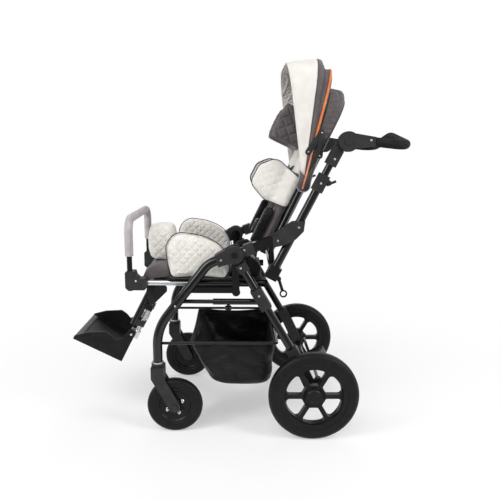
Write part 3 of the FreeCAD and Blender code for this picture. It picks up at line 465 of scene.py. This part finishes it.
def keep_inside(obj, node, angle, origin, room):
    """Hold the pad within its solid's box, with some room on each side."""
    box = local(coords(NODES[node].data), angle, origin)
    mesh = obj.data
    at = local(coords(mesh), angle, origin)
    if at[:, 0].min() > 0:
        box = box[box[:, 0] > 0]
    if at[:, 0].max() < 0:
        box = box[box[:, 0] < 0]
    low = box.min(0) - np.array(room[0])
    high = box.max(0) + np.array(room[1])
    at = np.clip(at, low, high)
    c, s = math.cos(angle), math.sin(angle)
    y = origin[0] + at[:, 1] * c - at[:, 2] * s
    z = origin[1] + at[:, 1] * s + at[:, 2] * c
    set_coords(mesh, np.stack([at[:, 0], y, z], 1))


def finish_pad(obj, material, body, node):
    obj.data.materials.clear()
    obj.data.materials.append(material)
    obj.data.polygons.foreach_set("use_smooth", [True] * len(obj.data.polygons))
    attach(obj, body)
    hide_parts(node)
    return obj


FLAT = (0.0, (0.0, 0.0))
LEANING = (BACK_ANGLE, RECLINE)


def mirrored_pad(name, node, body, material, frame_of, pitch, cap, room, sides):
    """A pad on the left and its mirror image on the right."""
    left = pad_form(name + "_left", node, 1, 0.0038, cap)
    keep_inside(left, node, *frame_of, room)
    quilt(left, *frame_of, pitch, SIDE_QUILT, 0.85, sides=sides)
    mesh = left.data.copy()
    values = coords(mesh)
    values[:, 0] *= -1
    set_coords(mesh, values)
    mesh.flip_normals()
    right = bpy.data.objects.new(name + "_right", mesh)
    bpy.context.collection.objects.link(right)
    for pad in (left, right):
        finish_pad(pad, material, body, node)


def single_pad(name, node, body, material, frame_of, pitch, cap, room, sides=(0, 1, 2), voxel=0.005):
    pad = pad_form(name, node, 0, voxel, cap)
    keep_inside(pad, node, *frame_of, room)
    quilt(pad, *frame_of, pitch, QUILT, 1.0, sides=sides)
    return finish_pad(pad, material, body, node)


def cream_panel(back):
    """The upper part of the backrest's front is covered in the pale cloth."""
    back.data.materials.append(CREAM)
    middle = np.empty(len(back.data.polygons) * 3, np.float32)
    way = middle.copy()
    back.data.polygons.foreach_get("center", middle)
    back.data.polygons.foreach_get("normal", way)
    at = local(middle.reshape(-1, 3), *LEANING)
    facing = local(way.reshape(-1, 3) + np.array([0, *RECLINE]), *LEANING)[:, 2]
    pale = (at[:, 1] > 0.325) & (facing > -0.5) & (at[:, 2] > 0.056)
    back.data.polygons.foreach_set("material_index", pale.astype(np.int32))
    back.data.update()


CROWN = ((0.0, 0.7), (0.08, 0.86), (0.25, 0.97), (0.5, 1.0), (0.75, 0.97), (0.92, 0.86), (1.0, 0.7))


def soft_slab(name, loop, place, t0, t1, material, body):
    """A small padded piece: a rounded outline, crowned on both faces."""
    middle = sum(loop, Vector((0, 0))) / len(loop)
    count = len(loop)
    points = []
    for level, share in CROWN:
        t = t0 + level * (t1 - t0)
        shrink = 1 - (1 - share) * (t1 - t0) / 0.03
        points += [place(*(middle + (p - middle) * shrink), t) for p in loop]
    last = count * (len(CROWN) - 1)
    points += [place(*middle, t0), place(*middle, t1)]
    faces = grid_faces(len(CROWN), count, True)
    for k in range(count):
        n = (k + 1) % count
        faces += [(len(points) - 2, n, k), (len(points) - 1, last + k, last + n)]
    obj = new_object(name, mesh_from(name, points, faces), material)
    refine(obj, 2)
    face_outward(obj.data)
    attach(obj, body)
    return obj


# Outline of the trunk pads' outer covers, as (off the back, along it), and its corner radii
TRUNK = [(0.049, 0.208), (0.128, 0.198), (0.195, 0.228), (0.194, 0.296), (0.150, 0.343), (0.049, 0.312)]
TRUNK_RADII = [0.012, 0.036, 0.030, 0.036, 0.040, 0.012]


def cover_base(n):
    """Sideways place of the trunk covers, which wrap round the backrest's edge."""
    t = min(1.0, max(0.0, (0.112 - n) / 0.05))
    return 0.1385 + 0.0285 * t * t * (3 - 2 * t)


def quilted_cover(name, corners, place, thick, material, body):
    """A padded cover over a rounded outline, flat inside, crowned and quilted outside."""
    loop = resample([Vector((*p, 0)) for p in rounded_loop(corners, TRUNK_RADII)], 96)
    middle = sum(loop, Vector()) / len(loop)
    rings = 26
    points = []
    for i in range(rings):
        share = 1 - i / rings
        for p in loop:
            q = middle.lerp(p, share)
            t = thick * (1 - share ** 5) ** 0.5
            points.append(place(q.x, q.y, t - sewn(q.x, q.y, 0.02, 0.0016, 0.0022) * (1 - share ** 8)))
    points += [place(middle.x, middle.y, thick)] + [place(p.x, p.y, -0.001) for p in loop]
    points.append(place(middle.x, middle.y, -0.001))
    count = len(loop)
    top = rings * count
    faces = grid_faces(rings, count, True)
    for k in range(count):
        n = (k + 1) % count
        faces += [(top - count + k, top - count + n, top), (k, top + 1 + k, top + 1 + n, n)]
        faces.append((top + 1 + n, top + 1 + k, top + 1 + count))
    obj = new_object(name, mesh_from(name, points, faces), material)
    face_outward(obj.data)
    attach(obj, body)
    return obj


def side_pieces():
    """Trunk pad covers, backrest bolsters and cover, and the black seat sides."""
    bolster = rounded_loop([(0.0785, 0.04), (0.112, 0.05), (0.112, 0.18), (0.0785, 0.192)], [0.014] * 4, 3)
    seat = [(-0.006, 0.5345), (0.088, 0.5345), (0.094, 0.575), (0.05, 0.612), (-0.002, 0.604)]
    seat = rounded_loop(seat, [0.006, 0.006, 0.02, 0.02, 0.02], 3)
    cover = rounded_loop([(-0.164, 0.036), (0.164, 0.036), (0.164, 0.45), (-0.164, 0.45)], [0.02] * 4, 3)
    soft_slab("back_cover", cover, back_at, 0.014, 0.0465, NYLON, "backrest")
    for side, word in SIDES:
        def cover_place(n, u, t, k=side):
            return back_at(k * (t + cover_base(n)), u, n)

        def back_place(n, u, t, k=side):
            return back_at(k * t, u, n)

        def seat_place(y, z, t, k=side):
            return Vector((k * t, y, z))

        quilted_cover(f"trunk_cover_{word}", TRUNK, cover_place, 0.009, CREAM, "backrest")
        soft_slab(f"back_bolster_{word}", bolster, back_place, 0.126, 0.164, NYLON, "backrest")
        soft_slab(f"seat_side_{word}", seat, seat_place, 0.152, 0.176, NYLON, "chassis")


def seat_apron():
    """Cloth under the pommel, from the seat's front edge down over the seat tube and its sides."""
    profile = [(-0.226, 0.5625), (-0.25, 0.5625), (-0.285, 0.558)]
    profile += [(-0.308, 0.546), (-0.318, 0.528), (-0.3185, 0.506)]
    columns = 25
    points = []
    for y, z in profile:
        for j in range(columns):
            t = 2 * j / (columns - 1) - 1
            x = 0.148 * math.copysign(min(1.0, abs(t) / 0.8), t)
            drop = max(0.0, abs(t) - 0.8) / 0.2
            sag = 0.003 * math.cos(9.0 * t + 40 * y) * (z < 0.55)
            points.append(Vector((x, y + sag + 0.006 * drop, max(0.503, z - 0.036 * drop))))
    mesh = mesh_from("seat_apron", points, grid_faces(len(profile), columns))
    obj = new_object("seat_apron", mesh, TAUPE)
    thicken(obj, 0.002)
    refine(obj, 2)
    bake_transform(obj)


def rounded_loop(corners, radii, steps=6):
    """Points round a polygon with arcs at its corners."""
    loop = []
    count = len(corners)
    for i, r in enumerate(radii):
        p = Vector(corners[i])
        a = (Vector(corners[i - 1]) - p).normalized()
        b = (Vector(corners[(i + 1) % count]) - p).normalized()
        half = a.angle(b) / 2
        reach = r / math.tan(half)
        middle = p + (a + b).normalized() * (r / math.sin(half))
        start, end = p + a * reach - middle, p + b * reach - middle
        turn = start.angle_signed(end)
        for k in range(steps + 1):
            loop.append(middle + Matrix.Rotation(-turn * k / steps, 2) @ start)
    return loop


def pads():
    rest = ((0.002, 0.002, 0.0), (0.002, 0.002, 0.004))
    side = ((0.0, 0.001, 0.0), (0.002, 0.004, 0.004))
    lean = ((0.002, 0.002, 0.0), (0.002, 0.002, 0.003))
    mirrored_pad("thigh_cushion", "thigh_pads", "chassis", CREAM, FLAT, 0.02, 0.005, side, (0,))
    mirrored_pad("trunk_cushion", "trunk_pads", "backrest", CREAM, LEANING, 0.02, 0.005, lean, (0,))
    single_pad("pommel_cushion", "pommel", "seat_front", CREAM, FLAT, 0.024, 0.006, rest, voxel=0.004)
    single_pad("seat_base_cushion", "seat_cushion", "chassis", TAUPE, FLAT, 0.05, 0.006, rest, (2,))
    back = single_pad("back_cushion", "backrest_pad", "backrest", TAUPE, LEANING, 0.05, 0.006, lean, (2,))
    cream_panel(back)
    single_pad("head_cushion", "headrest", "headrest", TAUPE, LEANING, 0.03, 0.004, lean, (0, 2), 0.0042)


def pipings():
    """Corded seams along the edges of the side pads."""
    y, z = 0.002, 0.5331
    thigh = [(y - 0.220, z), (y - 0.026, z), (y - 0.014, z + 0.028), (y - 0.022, z + 0.103)]
    thigh += [(y - 0.106, z + 0.149), (y - 0.196, z + 0.159), (y - 0.232, z + 0.116)]
    n = PAD_FRONT + 0.0004
    trunk = [(n, 0.204), (n + 0.050, 0.200), (n + 0.116, 0.228)]
    trunk += [(n + 0.114, 0.294), (n + 0.074, 0.341), (n, 0.318)]
    for side, word in SIDES:
        loop = rounded_loop(thigh, [0.020, 0.012, 0.020, 0.100, 0.200, 0.050, 0.060])
        line = [Vector((side * 0.1915, p.x, p.y)) for p in loop]
        tube(f"thigh_piping_{word}", line, SEAM_R, PIPING, "chassis", True)
        loop = rounded_loop(trunk, [0.016, 0.034, 0.026, 0.034, 0.030, 0.016])
        line = [back_at(side * 0.1075, p.y, p.x) for p in loop]
        tube(f"trunk_piping_inner_{word}", line, SEAM_R, PIPING, "backrest", True)
        loop = resample([Vector((*p, 0)) for p in rounded_loop(TRUNK, TRUNK_RADII)], 96)
        line = [back_at(side * (cover_base(p.x) + 0.0005), p.y, p.x) for p in loop]
        tube(f"trunk_piping_outer_{word}", line, SEAM_R, PIPING, "backrest", True)


# Canopy

def arch(half, radius, low, count=12):
    """Line over the canopy from one side's pivot to the other's, as (x, r)."""
    c = CANOPY_CORNER
    line = [(-half, low + (radius - c - low) * i / count) for i in range(count)]
    for i in range(count + 1):
        a = math.pi - i * math.pi / 2 / count
        line.append((-half + c + c * math.cos(a), radius - c + c * math.sin(a)))
    over = 2 * (half - c)
    line += [(-half + c + over * i / 6, radius) for i in range(1, 6)]
    return line + [(-x, r) for x, r in reversed(line[: 2 * count + 1])]


def fall(segment, angle):
    """How far the cloth lies below a segment's outer radius at the top."""
    back, span, lead = ROUNDING[segment]
    into = angle - segment[2]
    return back * max(0.0, 1 - into / span) ** 2 + lead * into / (segment[3] - segment[2])


def canopy_cloth(segment, x, r, angle, tuck=0.0):
    """Place of a segment's cloth, drawn in by a stitched tuck."""
    high = max(0.0, (r - segment[1] * 0.6) / (segment[1] * 0.4))
    drop = fall(segment, angle)
    side = (0.5 * drop * high + tuck) * min(1.0, abs(x) / segment[0])
    return canopy_at(x - math.copysign(side, x), r - (drop + tuck) * high, angle)


def sewn(a, b, pitch, depth=0.0035, width=0.003):
    """How deep a quilted cloth is drawn in at a place on it."""
    near = pitch
    for line in ((a + b) / math.sqrt(2), (a - b) / math.sqrt(2)):
        near = min(near, abs((line / pitch) % 1.0 - 0.5) * pitch)
    return depth * math.exp(-((near / width) ** 2))


def canopy_panel(name, segment, first, last, inset, material, body, node, columns=9, pitch=0.0):
    """One curved cloth panel of the canopy between two angles."""
    line = arch(segment[0] - inset, segment[1] - inset, 0.018, 44 if pitch else 14)
    spots = [0.0]
    for a, b in zip(line, line[1:]):
        spots.append(spots[-1] + math.dist(a, b))
    points = []
    for j in range(columns):
        angle = first + (last - first) * j / (columns - 1)
        for (x, r), s in zip(line, spots):
            tuck = sewn(s - spots[-1] / 2, r * math.radians(angle), pitch) if pitch else 0.0
            points.append(canopy_cloth(segment, x, r, angle, tuck))
    mesh = mesh_from(name, points, grid_faces(columns, len(line)))
    obj = new_object(name, mesh, material)
    thicken(obj, 0.0018, 0.0)
    refine(obj, 1)
    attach(obj, body)
    if node:
        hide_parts(node)
    return obj


def canopy_edge(name, segment, angle, radius, material, body, inset=CLOTH_INSET):
    line = arch(segment[0] - inset, segment[1] - inset, 0.02)
    return tube(name, [canopy_cloth(segment, x, r, angle) for x, r in line], radius, material, body)


def orange_piping():
    """Bright cord along the middle bow, running down over the cloth ends to their lowest point."""
    angle = MID[2] + 1.4
    line = arch(MID[0] + 0.0006, MID[1] + 0.0006, 0.1)
    bow = [canopy_cloth(MID, x, r, angle) for x, r in line]
    tube("canopy_orange_piping", bow, 0.0036, ORANGE, "canopy_mid")
    for side, word in SIDES:
        ends = [(0.2076, -0.012), (0.2076, 0.02), (0.2072, 0.05), (0.203, 0.085), (0.1976, 0.115)]
        points = [canopy_at(side * x, r, angle) for x, r in ends]
        tube(f"canopy_orange_end_{word}", points, 0.0032, ORANGE, "canopy_mid")
        thread = [canopy_at(side * (x + 0.0034), r, angle - 0.1) for x, r in ends]
        tube(f"canopy_thread_{word}", thread, 0.0008, BINDING, "canopy_mid")


def canopy_gore(name, a, b):
    """Cloth folded in two pleats between two segments, long enough for the open canopy."""
    rows = 25
    depth = 0.062
    middle = canopy_at(0, 0.02, 80.0)
    points = []
    lines = (arch(a[0] - 0.003, a[1] - 0.003, 0.03), arch(b[0] - 0.003, b[1] - 0.003, 0.03))
    for i in range(rows):
        t = i / (rows - 1)
        tuck = abs(math.sin(2 * math.pi * t))
        for (xa, ra), (xb, rb) in zip(*lines):
            p = canopy_cloth(a, xa, ra, a[3]).lerp(canopy_cloth(b, xb, rb, b[2]), t)
            inward = depth * min(1.0, (ra + (rb - ra) * t) / 0.3)
            points.append(p + (middle - p).normalized() * inward * tuck)
    mesh = mesh_from(name, points, grid_faces(rows, len(lines[0])))
    obj = new_object(name, mesh, TAUPE)
    thicken(obj, 0.001, 0.0)
    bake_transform(obj)


def canopy_link(side, word):
    """Two riveted stretcher plates with round ends on the canopy's middle bow."""
    x = side * 0.2018
    elbow, front, back = (0.281, 1.017), (0.239, 0.956), (0.276, 0.944)
    for name, a, b in (("front", elbow, front), ("rear", elbow, back)):
        p, q = Vector(a), Vector(b)
        way = (q - p).normalized()
        across = Vector((-way.y, way.x))
        outline = []
        for end, turn in ((p, 1), (q, -1)):
            for k in range(9):
                t = math.pi * (k / 8 - 0.5)
                outline.append(end - turn * LINK_HALF * (way * math.cos(t) + across * math.sin(t)))
        rows = []
        for level in (0.0, 0.0012):
            layer = x + side * (level + (0.0013 if name == "rear" else 0.0))
            rows += [Vector((layer, o.x, o.y)) for o in outline]
        count = len(outline)
        faces = grid_faces(2, count, True) + [tuple(range(count)), tuple(range(count, 2 * count))]
        obj = new_object(f"canopy_link_{name}_{word}", mesh_from(name, rows, faces), PLASTIC)
        bevel = obj.modifiers.new("Edge", "BEVEL")
        bevel.width = 0.0005
        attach(obj, "canopy_mid")
    for i, p in enumerate((elbow, front, back)):
        rivet(f"canopy_rivet_{i}_{word}", Vector((x + side * 0.0022, *p)), side, 0.003, "canopy_mid")


def rivet(name, centre, side, radius, body):
    """A domed rivet head with a small flat, facing sideways."""
    rows = []
    for i in range(5):
        t = i / 4 * math.pi / 2
        r, h = radius * math.cos(t * 0.92), radius * 0.5 * math.sin(t)
        rows += [centre + Vector((side * h, r * math.cos(a), r * math.sin(a))) for a in circle(16)]
    faces = grid_faces(5, 16, True) + [tuple(range(64, 80)), tuple(range(16))]
    return new_object(name, mesh_from(name, rows, faces), STEEL, body)


def canopy():
    front, mid, rear = "canopy_front", "canopy_mid", "canopy_rear"
    canopy_panel("canopy_front_panel", FRONT, BAND_END, FRONT[3], CLOTH_INSET, CREAM, front, front)
    canopy_panel("canopy_front_band", FRONT, FRONT[2], BAND_END, CLOTH_INSET, TAUPE, front, None)
    canopy_panel("canopy_lining", FRONT, FRONT[2] + 2, FRONT[3] - 0.3, 0.007, LINING, front, None, 49, 0.026)
    canopy_panel("canopy_mid_panel", MID, *MID[2:], CLOTH_INSET, TAUPE, mid, mid)
    canopy_panel("canopy_rear_panel", REAR, *REAR[2:], CLOTH_INSET, TAUPE, "backrest", rear, 37, 0.03)
    canopy_edge("canopy_front_hem", FRONT, FRONT[3], 0.0024, CREAM, front)
    canopy_edge("canopy_band_seam", FRONT, BAND_END, 0.001, PIPING, front, 0.0005)
    canopy_edge("canopy_band_hem", FRONT, FRONT[2], 0.0022, TAUPE, front)
    orange_piping()
    canopy_edge("canopy_mid_hem", MID, MID[3], 0.0022, TAUPE, mid)
    canopy_edge("canopy_rear_hem", REAR, REAR[2], 0.0026, PIPING, "backrest")
    canopy_edge("canopy_rear_front_hem", REAR, REAR[3], 0.0022, PIPING, "backrest")
    canopy_gore("canopy_gore_rear", REAR, MID)
    canopy_gore("canopy_gore_front", MID, FRONT)
    for side, word in SIDES:
        canopy_link(side, word)
        canopy_boot(side, word)


def canopy_boot(side, word):
    """Rounded cloth end below the canopy's pivot, with a bound edge."""
    x = side * 0.203
    rim = [canopy_at(x, 0.05, 104.0), canopy_at(x, 0.034, 116.0)]
    rim += [canopy_at(x, 0.022, 140.0 + 230.0 * k / 12) for k in range(13)]
    rim += [canopy_at(x, 0.045, 50.0), canopy_at(x, 0.075, 59.0), canopy_at(x, 0.1, 62.0)]
    middle = canopy_at(x + side * 0.0008, 0.026, 78.0)
    points = [middle] + [middle.lerp(p, 0.5) for p in rim] + rim
    n = len(rim)
    faces = [(0, 1 + k, 2 + k) for k in range(n - 1)]
    faces += [(1 + k, 1 + n + k, 2 + n + k, 2 + k) for k in range(n - 1)]
    obj = new_object(f"canopy_boot_{word}", mesh_from("boot", points, faces), TAUPE)
    thicken(obj, 0.0012)
    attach(obj, "backrest")
    tube(f"canopy_boot_binding_{word}", rim, 0.0013, BINDING, "backrest")


# Basket

def basket():
    """A soft bag slung from the basket rod, creased and sagging between its corners."""
    top, low = 0.312, 0.142
    count, around = 21, 132
    rows = []
    for i in range(count):
        depth = 0.5 - 0.5 * math.cos(math.pi * i / (count - 1))
        z = top + (low - top) * depth
        front = -0.152 + 0.066 * min(depth / 0.837, 1.0) + 0.04 * max(0.0, depth - 0.837) / 0.163
        back = 0.1435 - 0.0135 * depth
        pull = 0.0 if depth < 0.86 else 0.035 * ((depth - 0.86) / 0.14) ** 2
        half = 0.2008 - pull
        front, back = front + pull, back - pull
        corner = 0.022 + 0.02 * depth
        corners = [(half, front), (half, back), (-half, back), (-half, front)]
        loop = rounded_loop(corners, [corner] * 4, 5)
        ring = resample([Vector((p.x, p.y, z)) for p in loop], around)
        middle, reach = (front + back) / 2, (back - front) / 2
        for k, p in enumerate(ring):
            u = 2 * math.pi * k / around
            crease = abs(math.sin(3.5 * u + 4 * depth + 0.8 * math.sin(3 * u))) ** 0.6
            crease += 0.7 * abs(math.sin(6.5 * u - 6 * depth)) ** 0.6 + 0.5 * math.sin(4 * u + 13 * depth)
            inward = Vector((p.x, p.y - middle, 0)).normalized()
            slack = 0.0065 * math.sin(math.pi * depth) ** 0.7 * (crease - 1.0) - 0.003
            span = max(0.0, 1 - (p.x / half) ** 2) + max(0.0, 1 - ((p.y - middle) / reach) ** 2)
            q = p + inward * slack
            q.z -= 0.012 * min(1.0, span) * (1 - depth) ** 3
            rows.append(q)
    faces = grid_faces(count, around, True)
    base = around * (count - 1)
    ring = rows[base:]
    middle = sum(ring, Vector()) / around
    for share in (0.7, 0.4, 0.15):
        for k, p in enumerate(ring):
            q = middle.lerp(p, share)
            q.z += 0.002 * math.sin(k * 0.5 + share * 9)
            rows.append(q)
    faces += [tuple(i + base for i in face) for face in grid_faces(4, around, True)]
    faces.append(tuple(range(base + 3 * around, base + 4 * around)))
    mesh = mesh_from("basket_bag", rows, faces)
    obj = new_object("basket_bag", mesh, NYLON)
    thicken(obj, 0.002)
    refine(obj, 1)
    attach(obj, "chassis")
    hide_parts("storage_basket")
    tube("basket_hem", [p + Vector((0, 0, -0.002)) for p in rows[:around]], 0.0022, WEBBING, "chassis", True)
    tube("basket_seam", rows[around * 4: around * 5], 0.001, WEBBING, "chassis", True)


def resample(loop, count):
    closed = loop + [loop[0]]
    lengths = [0.0]
    for a, b in zip(closed, closed[1:]):
        lengths.append(lengths[-1] + (b - a).length)
    points = []
    for k in range(count):
        s = lengths[-1] * k / count
        i = max(j for j in range(len(lengths) - 1) if lengths[j] <= s)
        step = lengths[i + 1] - lengths[i]
        points.append(closed[i].lerp(closed[i + 1], (s - lengths[i]) / step if step else 0.0))
    return points


# Harness and small parts

def harness():
    off = PAD_FRONT + 0.0025
    front = back_at(0, 0, 1) - back_at(0, 0, 0)
    for side, word in SIDES:
        path = [(0.075, 0.352, -0.004), (0.074, 0.332, 0.004), (0.068, 0.28, 0.006), (0.058, 0.2, 0.007)]
        path += [(0.04, 0.13, 0.009), (0.022, 0.095, 0.014)]
        points = [back_at(side * x, u, off + n) for x, u, n in path]
        strap(f"shoulder_strap_{word}", points, [front] * len(points), 0.038, 0.002, WEBBING, "backrest")
        pad = [back_at(side * x, u, off + n + 0.0022) for x, u, n in path[1:4]]
        strap(f"shoulder_pad_{word}", pad, [front] * 3, 0.052, 0.006, NYLON, "backrest")
        lap = [(0.152, 0.06, -0.012), (0.12, 0.07, 0.008), (0.07, 0.078, 0.014), (0.024, 0.085, 0.016)]
        points = [back_at(side * x, u, off + n) for x, u, n in lap]
        strap(f"lap_strap_{word}", points, [front] * len(points), 0.034, 0.002, WEBBING, "backrest")
    buckle(off)


def buckle(off):
    """Moulded buckle in the middle of the harness."""
    outline = rounded_loop([(-0.03, 0.062), (0.03, 0.062), (0.026, 0.118), (-0.026, 0.118)], [0.012] * 4, 5)
    rows = []
    for level, share in ((0.012, 0.86), (0.015, 1.0), (0.025, 1.0), (0.03, 0.84)):
        rows += [back_at(p.x * share, 0.09 + (p.y - 0.09) * share, off + level) for p in outline]
    n = len(outline)
    faces = grid_faces(4, n, True) + [tuple(range(n)), tuple(range(3 * n, 4 * n))]
    new_object("harness_buckle", mesh_from("buckle", rows, faces), DARK_PLASTIC, "backrest")
    press = [back_at(0.009 * math.cos(a), 0.09 + 0.009 * math.sin(a), off + 0.0318) for a in circle(20)]
    rim = [back_at(0.011 * math.cos(a), 0.09 + 0.011 * math.sin(a), off + 0.0296) for a in circle(20)]
    faces = grid_faces(2, 20, True) + [tuple(range(20, 40))]
    new_object("buckle_press", mesh_from("press", rim + press, faces), PLASTIC, "backrest")


def circle(count):
    return [2 * math.pi * k / count for k in range(count)]


# Half outline of a caster bolt with its washer: radius and height above the wheel disc
CASTER_BOLT = [(0.0072, -0.0006), (0.0072, 0.0012), (0.0053, 0.0015)]
CASTER_BOLT += [(0.0053, 0.0054), (0.0044, 0.0064), (0.002, 0.0067)]


def caster_bolts():
    """Four bright bolts with washers on the outside of each caster wheel's disc."""
    disc, bolt_circle = 0.010, 0.03
    turns = circle(16)
    for side, word in SIDES:
        low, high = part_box(f"caster_hub_{word}")
        middle = (low + high) / 2
        for k in range(4):
            a = math.radians(30 + 90 * k)
            at = middle + Vector((side * disc, bolt_circle * math.cos(a), bolt_circle * math.sin(a)))
            rows = []
            for r, h in CASTER_BOLT:
                rows += [at + Vector((side * h, r * math.cos(t), r * math.sin(t))) for t in turns]
            last = len(rows) - 16
            faces = grid_faces(len(CASTER_BOLT), 16, True) + [tuple(range(last, last + 16))]
            name = f"caster_bolt_{k}_{word}"
            new_object(name, mesh_from(name, rows, faces), STEEL, f"caster_wheel_{word}")


# Screw heads on the left side as (x, y, z), and the body each is on
SCREWS = [
    ((0.2392, 0.319, 0.934), "push_bar"), ((0.2392, 0.2776, 0.8574), "push_frame"),
    ((0.2462, 0.143, 0.672), "push_frame"), ((0.2462, 0.210, 0.716), "push_frame"),
    ((0.2462, 0.430, 0.993), "handle"), ((0.2438, 0.034, 0.640), "push_frame"),
    ((0.2472, 0.0834, 0.4863), "rear_frame"), ((0.2502, 0.208, 0.2753), "rear_frame"),
    ((0.2436, -0.1934, 0.450), "chassis"), ((0.1982, -0.330, 0.524), "seat_front"),
    ((0.2502, -0.0416, 0.6075), "chassis"), ((0.2439, 0.0225, 0.5795), "rear_frame"),
]


def screws():
    for i, (place, body) in enumerate(SCREWS):
        for side, word in SIDES:
            rivet(f"screw_{i}_{word}", Vector((side * place[0], place[1], place[2])), side, 0.0037, body)


def toe_strip():
    """Grey grip strip along the footplate's front edge."""
    lean = math.radians(243.0)
    down = Vector((0, math.cos(lean), math.sin(lean)))
    front = Vector((0, math.sin(lean), -math.cos(lean)))
    pivot = Vector((0, -0.292, 0.478))
    points = []
    for along, off in ((0.2818, 0.146), (0.2796, 0.149), (0.2796, 0.164), (0.2818, 0.1665)):
        for j in range(21):
            x = -0.124 + 0.248 * j / 20
            ridge = 0.0006 * (j % 2) if along < 0.28 else 0.0
            points.append(pivot + down * (along - ridge) + front * off + Vector((x, 0, 0)))
    strip = mesh_from("toe_strip", points, grid_faces(4, 21))
    obj = new_object("toe_strip", strip, GREY_PLASTIC, "footplate")
    thicken(obj, 0.0008)


# Stage

def aim(light, place):
    lamp = bpy.data.objects.new(light.name, light)
    lamp.location = place
    lamp.rotation_euler = (Vector((0, 0, 0.6)) - place).to_track_quat("-Z", "Y").to_euler()
    bpy.context.collection.objects.link(lamp)


def whiten(f, amount):
    """Show a stage surface as plain white to the camera and in reflections, by an amount."""
    path = f.nodes.new("ShaderNodeLightPath").outputs
    seen = f.math("MAXIMUM", path["Is Camera Ray"], path["Is Glossy Ray"])
    seen = f.math("MAXIMUM", seen, path["Is Transmission Ray"])
    glow = f.nodes.new("ShaderNodeEmission")
    mix = f.nodes.new("ShaderNodeMixShader")
    f.links.new(f.math("MULTIPLY", seen, amount), mix.inputs["Fac"])
    f.links.new(f.shader.outputs["BSDF"], mix.inputs[1])
    f.links.new(glow.outputs["Emission"], mix.inputs[2])
    f.links.new(mix.outputs["Shader"], f.nodes["Material Output"].inputs["Surface"])


def stage_piece(name, points, faces, f):
    mesh = mesh_from(name, points, faces)
    mesh.materials.append(f.material)
    obj = bpy.data.objects.new(name, mesh)
    bpy.context.collection.objects.link(obj)


def stage():
    """White floor that keeps the shadow near the object, a white backdrop behind it, and soft light."""
    f = Finish("floor", (0.94, 0.94, 0.94), (0.95, 0.95, 0.95), 3.0, (0.55, 0.65), 0.0, 0.2)
    away = f.nodes.new("ShaderNodeVectorMath")
    away.operation = "LENGTH"
    f.links.new(f.place, away.inputs[0])
    far = f.nodes.new("ShaderNodeMapRange")
    far.interpolation_type = "SMOOTHSTEP"
    far.inputs["From Min"].default_value = -0.6
    far.inputs["From Max"].default_value = 1.6
    f.links.new(away.outputs["Value"], far.inputs["Value"])
    whiten(f, far.outputs["Result"])
    stage_piece("floor", [(-30, -30, 0), (1.25, -30, 0), (1.25, 30, 0), (-30, 30, 0)], [(0, 1, 2, 3)], f)
    f = Finish("backdrop", (0.94, 0.94, 0.94), (0.95, 0.95, 0.95), 1.0, (0.7, 0.8), 0.0, 0.2)
    whiten(f, 1.0)
    bend = [math.radians(80 + 5 * k) for k in range(41)]
    points = [(9 * math.cos(a), 9 * math.sin(a), z) for z in (0.0, 8.0) for a in bend]
    stage_piece("backdrop", points, grid_faces(2, len(bend)), f)
    world = bpy.data.worlds.new("studio")
    world.use_nodes = True
    world.node_tree.nodes["Background"].inputs["Color"].default_value = (1.0, 1.0, 1.0, 1.0)
    world.node_tree.nodes["Background"].inputs["Strength"].default_value = 0.36
    bpy.context.scene.world = world
    sun = bpy.data.lights.new("key", "SUN")
    sun.energy = 0.8
    sun.angle = math.radians(40.0)
    aim(sun, Vector((1.2, -0.5, 2.3)))
    strips = [((1.35, -1.9, 2.0), 0.8, 1.7, 34.0), ((1.35, 2.0, 1.8), 0.8, 1.7, 34.0)]
    strips.append(((-1.8, 0.0, 2.2), 1.6, 0.4, 9.0))
    for i, (place, length, width, power) in enumerate(strips):
        light = bpy.data.lights.new(f"strip_{i}", "AREA")
        light.shape = "RECTANGLE"
        light.size = length
        light.size_y = width
        light.energy = power
        aim(light, Vector(place))
    bpy.context.scene.view_settings.view_transform = "Standard"


def camera():
    ahead = Vector((-math.cos(PITCH) * math.cos(YAW), math.cos(PITCH) * math.sin(YAW), -math.sin(PITCH)))
    right = Vector((math.sin(YAW), math.cos(YAW), 0))
    up = right.cross(ahead)
    c, s = math.cos(ROLL), math.sin(ROLL)
    right, up = c * right + s * up, c * up - s * right
    data = bpy.data.cameras.new("camera")
    data.lens = LENS
    data.sensor_width = 36.0
    obj = bpy.data.objects.new("camera", data)
    obj.matrix_world = Matrix.Translation(EYE) @ Matrix((right, up, -ahead)).transposed().to_4x4()
    bpy.context.collection.objects.link(obj)
    bpy.context.scene.camera = obj


dress_cad()
pads()
pipings()
side_pieces()
seat_apron()
canopy()
basket()
harness()
caster_bolts()
screws()
toe_strip()
stage()
camera()
